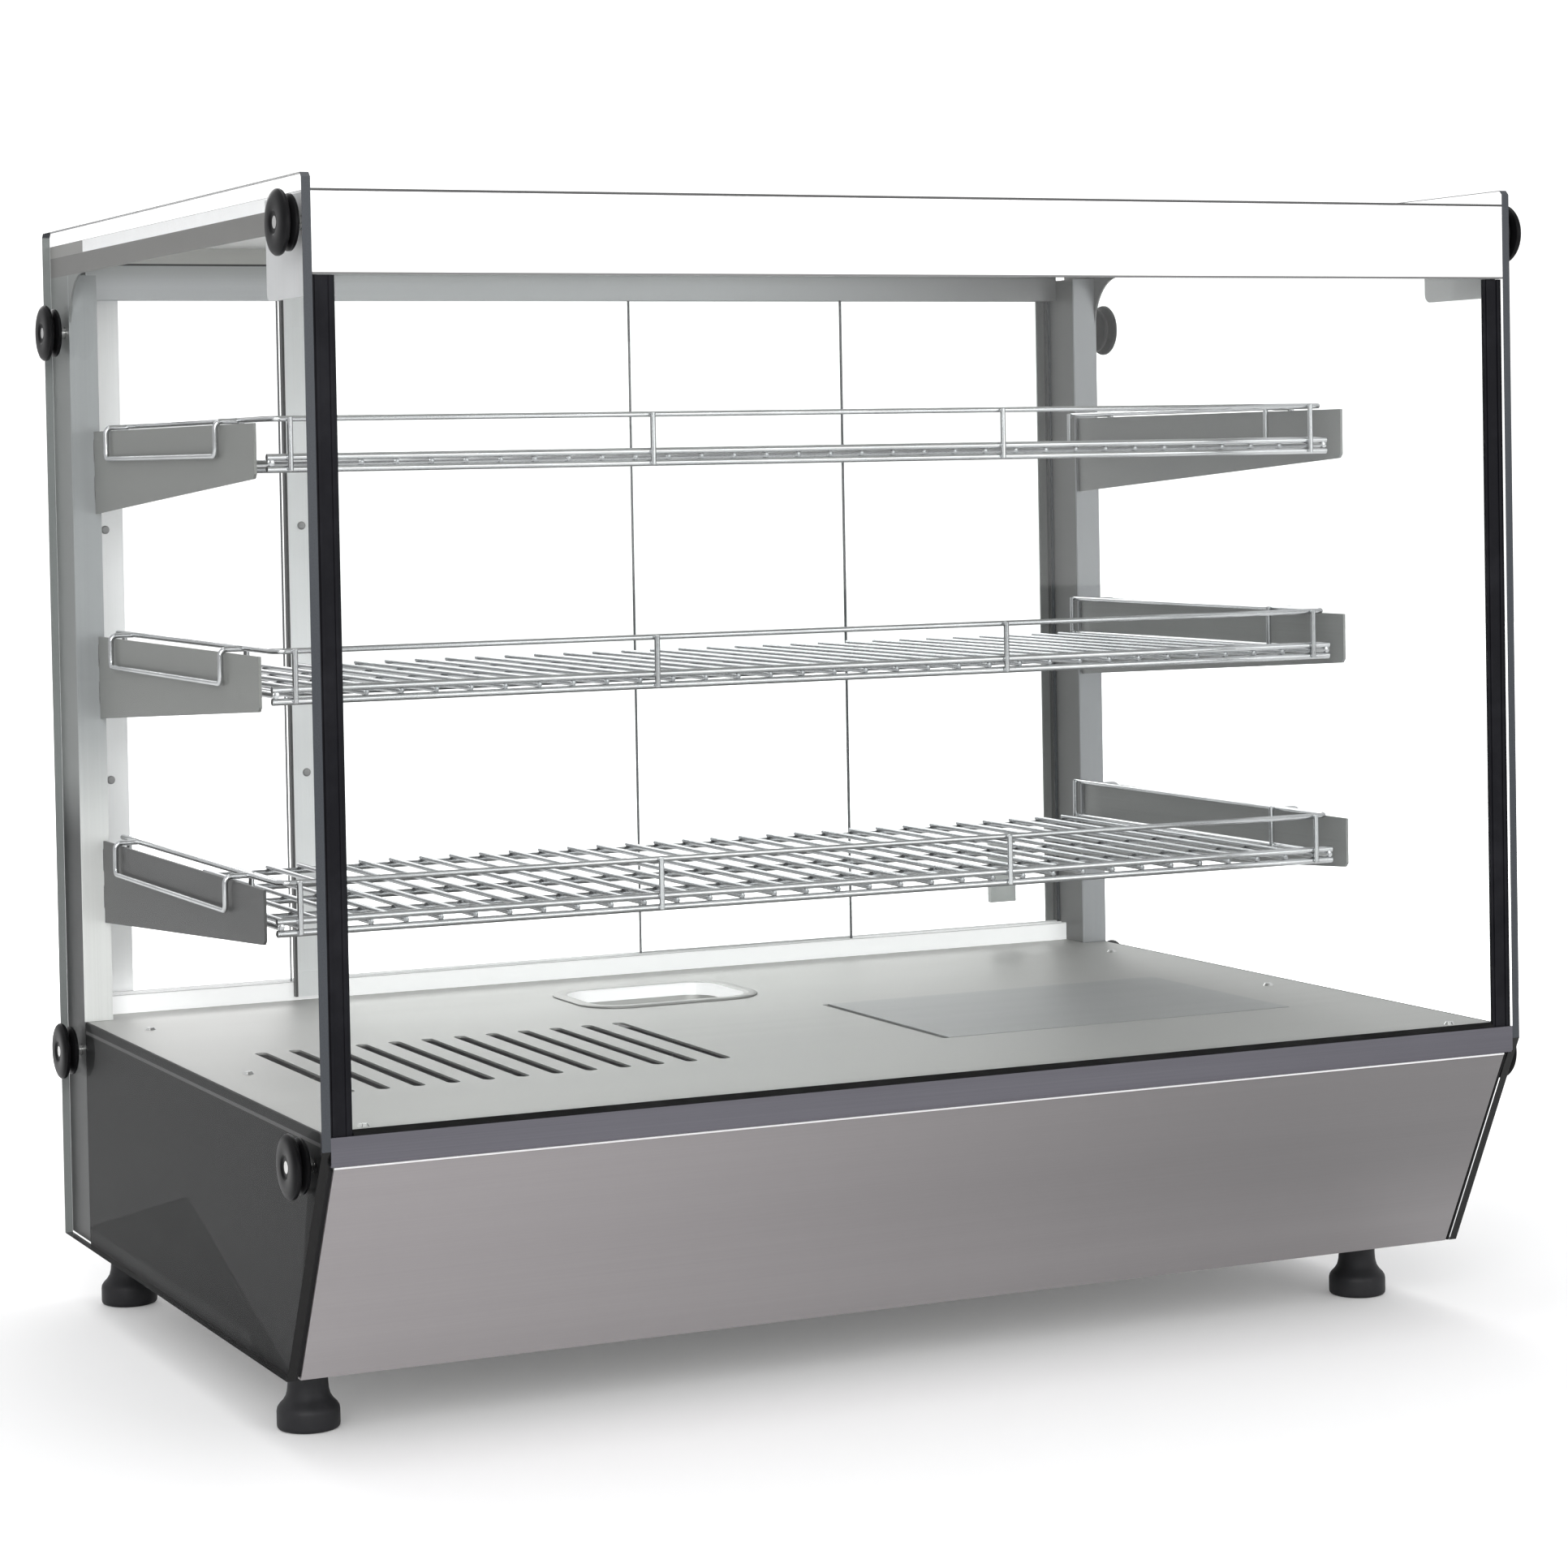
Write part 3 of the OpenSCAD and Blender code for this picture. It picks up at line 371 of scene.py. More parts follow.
def post_metal(side, faces):
    """A rear post's satin aluminium: its side, front and flange catch the light differently."""
    low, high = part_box("rear_post_" + side)
    front = high.y - POST_DEPTH
    if side == "left":
        flange = between("X", low.x + POST_WIDTH, high.x + PAST)
    else:
        flange = between("X", low.x - PAST, high.x - POST_WIDTH - POST_WALL)
    face = between("Y", front - 0.3 * MM, front + 1.7 * MM)
    inner = between("Y", low.y - PAST, high.y - 0.5 * MM)
    side_darkens = ramp("Z", low.z + 360 * MM, low.z + 300 * MM)
    front_pales = ramp("Z", low.z + 420 * MM, low.z + 260 * MM)
    behind_base = between("Z", low.z - PAST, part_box("side_panel_" + side)[1].z)
    return brushed("post_aluminium_" + side, faces["side"], "Z", 0.38, 0.04, 0.35,
                   patches=[(side_darkens, faces["low_side"]), (face, faces["front"]),
                            (both(face, front_pales), faces["low_front"]),
                            (both(flange, inner), faces["flange"]),
                            (both(inner, behind_base), (0.022, 0.023, 0.023))])


def canopy_metal():
    """The canopy's sheet: steel on top, pale underneath, with white skirts over a dark lower fold, and a
    near-black line of painted shade along its front edge.
    """
    low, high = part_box("canopy_top")
    skirts = either_side("X", high.x - 1.7 * MM, high.x + PAST)
    upper = between("Z", high.z - 9 * MM, high.z + PAST)
    rear = between("Y", high.y - 95 * MM, high.y + PAST)
    return brushed("canopy_steel", (0.78, 0.78, 0.76), "X", 0.4, 0.04, 0.1,
                   patches=[(skirts, (0.165, 0.162, 0.155)), (both(skirts, upper), (0.96, 0.96, 0.96)),
                            (both(skirts, both(upper, rear)), (0.28, 0.275, 0.265)),
                            (between("Z", high.z - 0.3 * MM, high.z + PAST), (0.40, 0.40, 0.395)),
                            # Painted shade: the near-black front edge stands for the shadow gap above the
                            # fascia.
                            (between("Y", low.y - PAST, low.y + 0.3 * MM), (0.06, 0.06, 0.06))])


def rail_metal():
    """The top rail: pale below, darker above, with a painted reflection darkening it towards the right and a
    dark line of painted shade in the gap under the canopy.
    """
    low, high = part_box("rear_top_rail")
    gap_z = low.z + 26 * MM
    return brushed("rail_aluminium_light", (0.62, 0.635, 0.65), "X", 0.34, 0.04, 0.3,
                   patches=[(ramp("Z", low.z + 8 * MM, gap_z), (0.44, 0.455, 0.455)),
                            # Painted reflection: darker towards the right.
                            (ramp("X", 60 * MM, high.x, 0.9), (0.17, 0.17, 0.17)),
                            # Painted shade: the dark line in the gap under the canopy.
                            (between("Z", gap_z, gap_z + 1.6 * MM), (0.04, 0.04, 0.04)),
                            (between("Z", gap_z + 1.6 * MM, high.z + PAST), (0.50, 0.50, 0.48))])


def handle_metal():
    """The left door's edge profile: a pale face between two dark rolled edges."""
    low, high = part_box("door_handle_left")
    edge = 2.2 * MM
    return brushed("handle_aluminium", (0.93, 0.95, 0.95), "Z", 0.4, 0.03, 0.05,
                   patches=[(between("X", low.x - PAST, low.x + edge), (0.05, 0.05, 0.05)),
                            (between("X", high.x - 3 * MM - edge / 2, high.x + PAST), (0.10, 0.10, 0.10))])


def track_metal():
    """The door track's pale upstand, with a thin grey line along its top; its glow is painted light that
    lifts it out of the shade inside the case.
    """
    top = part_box("door_track")[1].z
    return brushed("track_aluminium", (0.97, 0.975, 0.975), "X", 0.5, 0.03, 0.0,
                   # The glow set here is painted light.
                   patches=[(between("Z", top - 0.8 * MM, top + PAST), (0.5, 0.5, 0.5))], painted_glow=0.34)


STEEL_DECK = brushed("deck_steel", (0.425, 0.425, 0.412), "X", 0.46, 0.04, 0.7)
STEEL_COVER = brushed("cover_steel", (0.36, 0.365, 0.365), "X", 0.46, 0.05, 0.7)
STEEL = brushed("sheet_steel", (0.52, 0.52, 0.51), "X", 0.33, 0.08)
# The two posts' colours are lit and shaded copies of one aluminium: painted light and shade.
LEFT_POST = post_metal("left", {
    "side": (0.22, 0.23, 0.225), "low_side": (0.008, 0.010, 0.010), "front": (0.32, 0.335, 0.34),
    "low_front": (0.82, 0.83, 0.81), "flange": (0.96, 0.97, 0.97)})
RIGHT_POST = post_metal("right", {
    "side": (0.14, 0.142, 0.14), "low_side": (0.14, 0.142, 0.14), "front": (0.30, 0.31, 0.32),
    "low_front": (0.31, 0.32, 0.33), "flange": (0.30, 0.305, 0.30)})
BRACKET_PALE = brushed("canopy_bracket_steel", (0.58, 0.585, 0.59), "Z", 0.4, 0.04, 0.2)
# The left and right shelf brackets are lit and shaded copies of one steel, and the left ones darken from 440
# mm down to 400 mm: painted shade.
BRACKET_STEEL = brushed("bracket_steel", (0.195, 0.20, 0.19), "Y", 0.45, 0.05, 0.2,
                        patches=[(ramp("Z", 440 * MM, 400 * MM), (0.032, 0.033, 0.032))])
BRACKET_RIGHT = brushed("bracket_steel_right", (0.25, 0.255, 0.25), "Y", 0.45, 0.05, 0.25)
ALUMINIUM = brushed("frame_aluminium", (0.40, 0.415, 0.405), "Z", 0.32, 0.07)
RAIL_DARK = brushed("rail_dark", (0.135, 0.132, 0.15), "X", 0.38, 0.08)
FASCIA = fascia_enamel("fascia_enamel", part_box("front_fascia")[0].z + 1.3 * MM)
# The tray's enamel glows a little: painted light for the shaded well.
TRAY_WHITE = painted("tray_enamel", (0.97, 0.97, 0.97), 0.15, 0.5, 0.03, painted_glow=0.22)
BLACK = moulded("black_plastic", (0.004, 0.004, 0.0045), 0.30, gloss=0.1)
STRIP_BLACK = moulded("strip_black", (0.005, 0.005, 0.007), 0.40, 0.1, gloss=0.1)
SEAL = moulded("seal_rubber", (0.006, 0.006, 0.006), 0.7, gloss=0.1)
RUBBER = moulded("foot_rubber", (0.014, 0.014, 0.016), 0.5, 0.4, gloss=0.3)
IVORY = moulded("light_plastic", (0.80, 0.77, 0.70), 0.4, 0.1)
RED = moulded("rocker_red", (0.45, 0.02, 0.015), 0.25, 0.05)
AMBER = moulded("amber_plastic", (0.85, 0.30, 0.02), 0.15, 0.05)
CHROME = chromed("chrome_wire", (0.62, 0.63, 0.64), 0.14)
# A darker copy of the chrome wire; with the bright one it makes lit and shaded copies: painted light and
# shade.
CHROME_SHADED = chromed("chrome_grid_wire", (0.36, 0.37, 0.38), 0.2)
CHROME_BRIGHT = chromed("polished_steel", (0.72, 0.72, 0.71), 0.16)
SCREW_STEEL = brushed("screw_steel", (0.30, 0.30, 0.30), "X", 0.35, 0.1, 0.6)
DARK_STEEL = brushed("element_steel", (0.16, 0.15, 0.15), "X", 0.5, 0.2)
GLASS = pane("clear_glass", (0.985, 0.992, 0.989), 0.35)
END_GLASS = pane("end_glass", (0.992, 0.995, 0.994), 0.12)
DOOR_GLASS = pane("door_glass", (0.99, 0.994, 0.992), 0.35)
KINK_HEIGHT = 160 * MM
RAKE_DEPTH = 82 * MM
RIM = glass_rim("glass_rim", (0.030, 0.034, 0.040), (0.055, 0.060, 0.068),
                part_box("end_glass_left")[0].z + KINK_HEIGHT)
# A paler copy of the glass rim for the end glasses' rear edges: painted light.
PALE_RIM = glass_rim("pale_glass_rim", (0.17, 0.185, 0.18), (0.23, 0.245, 0.24))
LAMP_GLASS = painted("lamp_glass", (0.95, 0.94, 0.90), 0.2, 0.4, 0.02)
CHARCOAL = side_coating()

# ------------------------------------------------------------------ carried-over pieces

FINISHES = {
    "base_pan": STEEL, "side_panel_left": CHARCOAL, "side_panel_right": CHARCOAL,
    "front_panel": panel_steel(), "front_rail": RAIL_DARK, "rear_panel": STEEL, "deck_plate": STEEL_DECK,
    "floor_cover": STEEL_COVER, "deck_screws": CHROME_BRIGHT, "front_seal": SEAL,
    "rear_screws": CHROME_BRIGHT,
    "corner_strip_left": STRIP_BLACK, "corner_strip_right": STRIP_BLACK, "canopy_top": canopy_metal(),
    "front_fascia": FASCIA, "canopy_bracket_left": BRACKET_PALE, "canopy_bracket_right": BRACKET_PALE,
    "rear_top_rail": rail_metal(), "rear_post_left": LEFT_POST, "rear_post_right": RIGHT_POST,
    "door_track": track_metal(), "door_handle_left": handle_metal(), "door_handle_right": ALUMINIUM,
    "shelf_brackets_left": BRACKET_STEEL, "shelf_brackets_right": BRACKET_RIGHT, "knob_studs": CHROME_BRIGHT,
    "lamp_tube": LAMP_GLASS, "lamp_holders": IVORY, "fan_housing": BLACK, "fan_rotor": BLACK,
    "heating_element": DARK_STEEL, "thermostat_body": IVORY, "thermostat_knob": BLACK,
    "switch_frames": BLACK, "power_rocker": RED, "light_rocker": RED, "indicator_lens": AMBER,
    "terminal_block": IVORY, "cable_gland": BLACK,
}
BEVELS = {"front_panel": 0.4, "front_rail": 0.5, "rear_top_rail": 0.5, "door_track": 0.4,
          "door_handle_left": 0.5, "door_handle_right": 0.5, "corner_strip_left": 0.4,
          "corner_strip_right": 0.4, "lamp_holders": 0.8,
          "shelf_brackets_left": 0.4, "shelf_brackets_right": 0.4, "canopy_top": 0.3, "front_fascia": 0.3,
          "rear_post_left": 0.3, "rear_post_right": 0.3}


def body_name(node):
    return nodes[node]["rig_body"]


def soften(obj, width):
    """Rounds the piece's edges by width, in mm."""
    bevel = obj.modifiers.new("edge", "BEVEL")
    bevel.width = width * MM
    bevel.segments = 2
    bevel.limit_method = "ANGLE"
    bevel.angle_limit = math.radians(35)
    bevel.harden_normals = True


for name, finish in FINISHES.items():
    obj = nodes[name]
    obj.data.materials.clear()
    obj.data.materials.append(finish)
    if name in BEVELS:
        soften(obj, BEVELS[name])


# ------------------------------------------------------------------ building pieces

def add_mesh(name, bm, finishes, body, replaced=(), smooth=None):
    """Turns bm into an object that rides body and stands for the replaced nodes."""
    data = bpy.data.meshes.new(name)
    bmesh.ops.recalc_face_normals(bm, faces=bm.faces[:])
    bm.to_mesh(data)
    bm.free()
    obj = bpy.data.objects.new(name, data)
    scene.collection.objects.link(obj)
    for finish in finishes:
        data.materials.append(finish)
    if smooth is not None:
        data.shade_smooth()
        data.set_sharp_from_angle(angle=math.radians(smooth))
    if replaced:
        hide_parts(*replaced)
    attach(obj, body)
    return obj


def extrude_profile(bm, points, axis, low, high, material=0, cap_material=None):
    """A prism from a 2D outline, along axis 'X', 'Y' or 'Z'."""
    def place(u, v, w):
        return {"X": (w, u, v), "Y": (u, w, v), "Z": (u, v, w)}[axis]
    a = [bm.verts.new(place(u, v, low)) for u, v in points]
    b = [bm.verts.new(place(u, v, high)) for u, v in points]
    count = len(points)
    for i in range(count):
        j = (i + 1) % count
        bm.faces.new((a[i], a[j], b[j], b[i])).material_index = material
    for ring in (a, b):
        bm.faces.new(ring).material_index = material if cap_material is None else cap_material


def glass_pane(node, outline, axis, finish):
    """A pane with clear faces and dark ground edges, in place of a CAD node."""
    low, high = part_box(node)
    k = "XYZ".index(axis)
    bm = bmesh.new()
    extrude_profile(bm, outline, axis, low[k], high[k], 1, 0)
    if axis == "X":
        for face in bm.faces:
            # The rear edges take the paler rim, painted light.
            if all(corner.co.y > high.y - 0.1 * MM for corner in face.verts):
                face.material_index = 2
    obj = add_mesh(node + "_pane", bm, [finish, RIM, PALE_RIM], body_name(node), [node])


def make_glass():
    for side in ("left", "right"):
        low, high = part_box("end_glass_" + side)
        chamfer = 3 * MM
        kink = low.z + KINK_HEIGHT
        rake = low.y + RAKE_DEPTH
        outline = [(low.y, high.z - chamfer), (low.y, kink), (rake, low.z), (high.y, low.z),
                   (high.y, high.z - chamfer), (high.y - chamfer, high.z), (low.y + chamfer, high.z)]
        glass_pane("end_glass_" + side, outline, "X", END_GLASS)
    flat_panes = {"front_glass": GLASS, "door_glass_left": DOOR_GLASS, "door_glass_right": DOOR_GLASS}
    for node, finish in flat_panes.items():
        low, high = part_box(node)
        outline = [(low.x, low.z), (high.x, low.z), (high.x, high.z), (low.x, high.z)]
        glass_pane(node, outline, "Y", finish)


make_glass()


def tube(bm, path, radius, sides, material):
    """A round wire through points; corners are already rounded by the caller."""
    rings = []
    first = len(bm.faces)
    for i, point in enumerate(path):
        before = path[max(i - 1, 0)]
        after = path[min(i + 1, len(path) - 1)]
        along = (after - before).normalized()
        if i == 0:
            reference = Vector((0, 0, 1)) if abs(along.z) < 0.9 else Vector((1, 0, 0))
            across = along.cross(reference).normalized()
        else:
            across = (across - along * across.dot(along)).normalized()
        other = along.cross(across)
        ring = []
        for k in range(sides):
            turn = 2 * math.pi * k / sides
            ring.append(bm.verts.new(point + (across * math.cos(turn) + other * math.sin(turn)) * radius))
        rings.append(ring)
    for a, b in zip(rings, rings[1:]):
        for k in range(sides):
            bm.faces.new((a[k], a[(k + 1) % sides], b[(k + 1) % sides], b[k]))
    for ring, sign in ((rings[0], -1), (rings[-1], 1)):
        tip_at = path[0 if sign < 0 else -1]
        step = (path[1] - path[0]).normalized() if sign < 0 else (path[-1] - path[-2]).normalized()
        tip = bm.verts.new(tip_at + step * sign * radius * 0.35)
        for k in range(sides):
            bm.faces.new((ring[k], ring[(k + 1) % sides], tip))
    bm.faces.ensure_lookup_table()
    for face in bm.faces[first:]:
        face.material_index = material


def rounded_path(corners, radius):
    """Points along a polyline whose corners are rounded to radius."""
    steps = 5
    points = [corners[0]]
    for before, corner, after in zip(corners, corners[1:], corners[2:]):
        a = (before - corner).normalized()
        b = (after - corner).normalized()
        half = a.angle(b) / 2
        reach = radius / math.tan(half)
        start, end = corner + a * reach, corner + b * reach
        centre = corner + (a + b).normalized() * (radius / math.sin(half))
        u, v = start - centre, end - centre
        sweep = u.angle(v)
        for k in range(steps + 1):
            t = k / steps
            w = (u * math.sin((1 - t) * sweep) + v * math.sin(t * sweep)) / math.sin(sweep)
            points.append(centre + w)
    points.append(corners[-1])
    return points


FRAME_WIRE = 2.5 * MM
GRID_WIRE = 2.0 * MM
GRID_PITCH = 25 * MM
HANGER_REACH = 17 * MM
CROSS_WIRES = 5


def make_shelf(node):
    """One wire shelf: cross wires, grid wires, gallery rail and hangers. A wire's size is its radius."""
    low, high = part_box(node)
    bm = bmesh.new()

    def wire(radius, *points, sides=10, material=0, bend=None):
        path = [Vector(point) for point in points]
        tube(bm, rounded_path(path, bend) if bend else path, radius, sides, material)

    hook = high.x - GRID_WIRE
    side = hook - HANGER_REACH
    end = side + FRAME_WIRE
    front = low.y + 5.5 * MM
    rear = high.y - 2 * MM
    cross_z = low.z + FRAME_WIRE
    grid_z = cross_z + 4 * MM
    side_z = grid_z + 0.5 * MM
    rail_z = high.z - GRID_WIRE
    hanger_z = rail_z - 0.4 * MM
    hook_z = hanger_z - 23.3 * MM
    past = 1 * MM
    for i in range(CROSS_WIRES):
        y = front + (rear - front) * i / (CROSS_WIRES - 1)
        # The front cross wire takes the bright chrome, the others the darker copy: painted light and shade.
        wire(FRAME_WIRE, (-end, y, cross_z), (end, y, cross_z), material=int(i > 0))
    wire(FRAME_WIRE, (-end, front, 2 * grid_z - cross_z), (end, front, 2 * grid_z - cross_z))
    for x in (-side, side):
        wire(FRAME_WIRE, (x, front - 2 * past, side_z), (x, rear + 2 * past, side_z))
    count = int((side - 10 * MM) / GRID_PITCH)
    for i in range(-count, count + 1):
        x = i * GRID_PITCH
        wire(GRID_WIRE, (x, front - past, grid_z), (x, rear + past, grid_z), sides=8, material=1)
    wire(GRID_WIRE, (-side, rear + past, rail_z), (-side, front, rail_z), (side, front, rail_z),
         (side, rear + past, rail_z), bend=9 * MM)
    lap = 3.5 * MM
    bottom, top = cross_z - past, rail_z + past
    for x in (-side + 13 * MM, -side / 3, side / 3, side - 13 * MM):
        wire(GRID_WIRE, (x, front - lap, bottom), (x, front - lap, top))
    first, last = front + 68 * MM, rear - 40 * MM
    for s in (-1, 1):
        for y in (rear - 4 * MM, first + 6 * MM):
            wire(GRID_WIRE, (s * (side - lap), y, bottom), (s * (side - lap), y, top))
        wire(GRID_WIRE, (s * side, first, hanger_z), (s * hook, first, hanger_z), (s * hook, first, hook_z),
             (s * hook, last, hook_z), (s * hook, last, hanger_z), (s * side, last, hanger_z), bend=4.5 * MM)
    obj = add_mesh(node + "_wires", bm, [CHROME, CHROME_SHADED], body_name(node), [node], smooth=50)


for level in ("top", "middle", "bottom"):
    make_shelf("shelf_" + level)


def lathe(bm, profile, centre, axis, sides=64):
    """A turned solid; profile is (radius, distance along axis) from one end to the other."""
    up = Vector(axis).normalized()
    across = up.cross(Vector((0, 0, 1)) if abs(up.z) < 0.9 else Vector((1, 0, 0))).normalized()
    other = up.cross(across)
    rings = []
    for radius, along in profile:
        if radius < 1e-7:
            rings.append([bm.verts.new(centre + up * along)])
            continue
        ring = []
        for k in range(sides):
            turn = 2 * math.pi * k / sides
            outward = across * math.cos(turn) + other * math.sin(turn)
            ring.append(bm.verts.new(centre + up * along + outward * radius))
        rings.append(ring)
    for a, b in zip(rings, rings[1:]):
        for k in range(sides):
            quad = [a[k % len(a)], a[(k + 1) % len(a)], b[(k + 1) % len(b)], b[k % len(b)]]
            corners = list(dict.fromkeys(quad))
            if len(corners) > 2:
                bm.faces.new(corners)


def rounded_outline(width, depth, radius):
    """Points of a rounded rectangle about the origin, anticlockwise."""
    steps = 10
    points = []
    for k, (sx, sy) in enumerate(((1, 1), (-1, 1), (-1, -1), (1, -1))):
        for i in range(steps + 1):
            turn = math.pi / 2 * (k + i / steps)
            points.append((sx * (width / 2 - radius) + radius * math.cos(turn),
                           sy * (depth / 2 - radius) + radius * math.sin(turn)))
    return points


def make_tray():
    """The pressed water tray: a steel rim round a white enamelled well, whose enamel glows as painted light.
    """
    low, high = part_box("water_tray")
    centre = (low + high) / 2
    width, depth = high.x - low.x, high.y - low.y
    rim_under = low.z + 20.3 * MM
    corner = 34 * MM
    tightest = 4 * MM
    rings = []
    steps = ((0, rim_under), (0, high.z - 0.5 * MM), (0.6, high.z), (9.0, high.z), (10.6, high.z - 0.6 * MM),
             (11.6, high.z - 2.5 * MM), (12.5, low.z + 5 * MM), (14.0, low.z + 2.2 * MM),
             (17.0, low.z + 1.1 * MM))
    bm = bmesh.new()
    for inset, z in steps:
        cut = inset * MM
        outline = rounded_outline(width - 2 * cut, depth - 2 * cut, max(corner - cut, tightest))
        rings.append([bm.verts.new((centre.x + x, centre.y + y, z)) for x, y in outline])
    for i, (a, b) in enumerate(zip(rings, rings[1:])):
        for k in range(len(a)):
            j = (k + 1) % len(a)
            bm.faces.new((a[k], a[j], b[j], b[k])).material_index = int(i >= 4)
    bm.faces.new(rings[-1]).material_index = 1
    outer = [bm.verts.new((v.co.x, v.co.y, low.z)) for v in rings[-2]]
    collar = [bm.verts.new((v.co.x, v.co.y, rim_under)) for v in rings[4]]
    for a, b in ((rings[0], collar), (collar, outer)):
        for k in range(len(a)):
            j = (k + 1) % len(a)
            bm.faces.new((a[k], a[j], b[j], b[k]))
    bm.faces.new(outer)
    obj = add_mesh("water_tray_pressing", bm, [STEEL_DECK, TRAY_WHITE], body_name("water_tray"),
                   ["water_tray"], smooth=40)


make_tray()


def make_knobs():
    """Clamp knobs: an inner flange, a waist and a domed outer disc round the stud's end."""
    profile = [(4.06, 0), (17.2, 0), (18.0, 0.8), (18.0, 2.4), (17.2, 3.2), (13.4, 3.9), (12.6, 4.6),
               (12.9, 5.4), (18.8, 6.3), (20.4, 7.0), (21.0, 8.2), (20.9, 9.6), (20.0, 10.7), (18.2, 11.5),
               (15.6, 12.0), (8.6, 12.0), (7.6, 11.7), (7.0, 11.0), (6.4, 10.8), (4.06, 10.8), (4.06, 0)]
    for side, sx in (("left", -1), ("right", 1)):
        for place in ("front_top", "rear_top", "rear_bottom", "front_bottom"):
            node = f"knob_{side}_{place}"
            low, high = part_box(node)
            centre = (low + high) / 2
            centre.x = high.x if sx < 0 else low.x
            bm = bmesh.new()
            lathe(bm, [(a * MM, b * MM) for a, b in profile], centre, (sx, 0, 0))
            obj = add_mesh(node + "_body", bm, [BLACK], body_name(node), [node], smooth=35)


make_knobs()


def make_feet():
    """Levelling feet: a moulded rubber pad with a waist, on a threaded stud."""
    profile = [(0, 0), (18.6, 0), (20.0, 0.5), (20.8, 1.6), (21.0, 3.0), (21.0, 12.0), (20.6, 14.2),
               (19.2, 16.4), (16.8, 18.8), (14.8, 22.0), (13.8, 26.0), (13.4, 31.0), (13.4, 40.0),
               (14.0, 43.5), (14.4, 47.0), (14.2, 49.4), (5.0, 49.6), (5.0, 70.0), (4.0, 71.0), (0, 71.0)]
    for end in ("front", "rear"):
        for side in ("left", "right"):
            node = f"foot_{end}_{side}"
            low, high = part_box(node)
            centre = (low + high) / 2
            centre.z = low.z
            bm = bmesh.new()
            lathe(bm, [(a * MM, b * MM) for a, b in profile], centre, (0, 0, 1))
            obj = add_mesh(node + "_pad", bm, [RUBBER], body_name(node), [node], smooth=35)


make_feet()


SCREW_HEIGHTS = (397 * MM, 590 * MM)


def make_frame_screws():
    """Screws in the holes of the left post's flange and of the left door's edge profile."""
    head = [(0, 0.2), (3.2, 0.2), (3.2, -0.6), (2.4, -1.5), (0, -1.7)]
    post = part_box("rear_post_left")[1]
    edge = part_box("door_handle_left")[0]
    for node, x, y in (("rear_post_left", post.x - 14 * MM, post.y - 1.5 * MM),
                       ("door_handle_left", edge.x + 13.2 * MM, edge.y + 1.2 * MM)):
        for i, z in enumerate(SCREW_HEIGHTS):
            bm = bmesh.new()
            lathe(bm, [(a * MM, b * MM) for a, b in head], Vector((x, y, z)), (0, 1, 0), 32)
            add_mesh(f"{node}_screw_{i}", bm, [SCREW_STEEL], body_name(node), smooth=35)


make_frame_screws()


def make_vent_gauze():
    """The fine black gauze behind the rear panel's vents, which keeps dust out of the fan."""
    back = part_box("rear_panel")[0].y
    left, right, bottom, top = 50 * MM, 190 * MM, 92 * MM, 168 * MM
    outline = [(left, bottom), (right, bottom), (right, top), (left, top)]
    bm = bmesh.new()
    extrude_profile(bm, outline, "Y", back - 0.6 * MM, back - 0.1 * MM)
    add_mesh("vent_gauze", bm, [SEAL], body_name("rear_panel"))


make_vent_gauze()

# ------------------------------------------------------------------ floor, world and lights

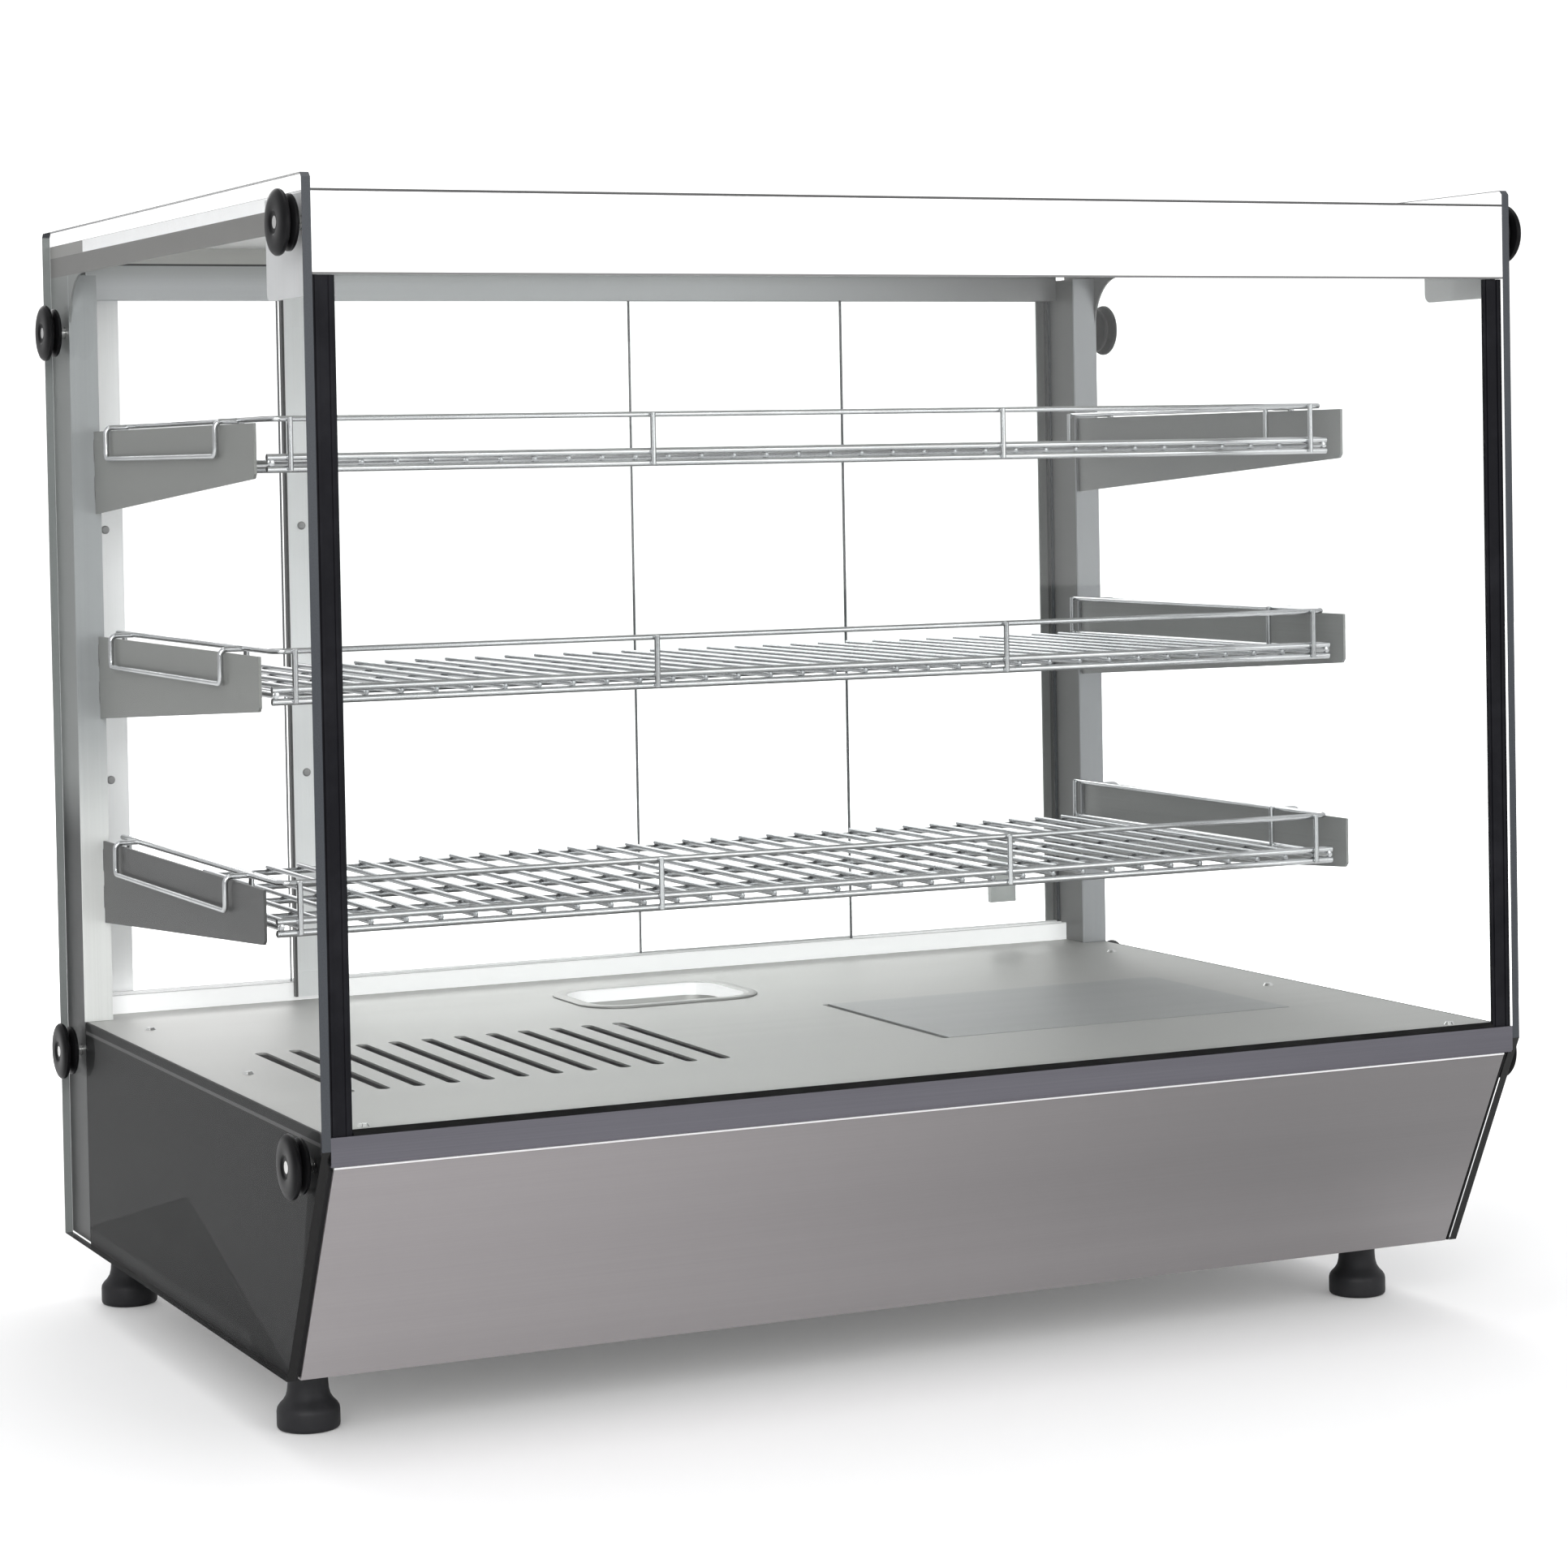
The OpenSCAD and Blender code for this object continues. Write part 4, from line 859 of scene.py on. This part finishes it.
def make_floor():
    bm = bmesh.new()
    size = 9.0
    for x, y in ((-size, -size), (size, -size), (size, size), (-size, size)):
        bm.verts.new((x, y, -0.0002))
    bm.faces.new(bm.verts[:])
    data = bpy.data.meshes.new("floor")
    bm.to_mesh(data)
    bm.free()
    floor = bpy.data.objects.new("floor", data)
    scene.collection.objects.link(floor)
    finish = Finish("floor_paper", Roughness=0.9, Emission_Strength=1.0)
    cloud = finish.noise((1, 1, 1), 1.5, 2.0, 0.5)
    grain = finish.noise((1, 1, 1), 400.0, 2.0, 0.5)
    seen = add_node(finish.tree, "ShaderNodeLightPath", "Is Camera Ray")
    x, y = finish.axis("X"), finish.axis("Y")
    away = ((x * x + y * y) ** 0.5).step(0.7, 2.2)
    lift = seen * (0.12 + away * 1.2)
    finish.set(Base_Color=mix_colour(cloud, (0.86, 0.86, 0.86), (0.89, 0.89, 0.89)),
               Emission_Color=mix_colour(lift, (0, 0, 0), (1, 1, 1)),
               Normal=finish.bump(grain, 0.05, 0.0001))
    data.materials.append(finish.material)


def make_world():
    """White where the camera looks straight into it; a soft grey studio for everything else."""
    world = bpy.data.worlds.new("studio")
    scene.world = world
    world.use_nodes = True
    tree = world.node_tree
    tree.nodes.clear()
    where = add_node(tree, "ShaderNodeTexCoord", "Generated")
    height = add_node(tree, "ShaderNodeSeparateXYZ", "Z", Vector=where)
    studio = mix_colour(height.step(-0.1, 0.7), (0.70, 0.70, 0.71), (0.95, 0.95, 0.96))
    lit = add_node(tree, "ShaderNodeBackground", Color=studio, Strength=0.85)
    seen = add_node(tree, "ShaderNodeBackground", Color=(1, 1, 1), Strength=1.3)
    camera_ray = add_node(tree, "ShaderNodeLightPath", "Is Camera Ray")
    backdrop = add_node(tree, "ShaderNodeMixShader", numbered={0: camera_ray, 1: lit, 2: seen})
    add_node(tree, "ShaderNodeOutputWorld", Surface=backdrop)


def area_light(name, place, target, width, height, power):
    data = bpy.data.lights.new(name, "AREA")
    data.shape = "RECTANGLE"
    data.size = width
    data.size_y = height
    data.energy = power
    light = bpy.data.objects.new(name, data)
    scene.collection.objects.link(light)
    light.location = place
    light.rotation_euler = (Vector(target) - Vector(place)).to_track_quat("-Z", "Y").to_euler()


make_floor()
make_world()
area_light("key", (-2.0, -3.6, 1.9), (0, 0, 0.4), 2.6, 1.8, 95)
area_light("fill", (1.6, -3.7, 1.2), (0, 0, 0.4), 2.0, 1.6, 22)
area_light("top", (0, 0.3, 3.4), (0, 0, 0.4), 3.0, 3.0, 28)
area_light("rear", (0.5, 3.4, 2.0), (0, 0, 0.5), 3.0, 1.6, 35)
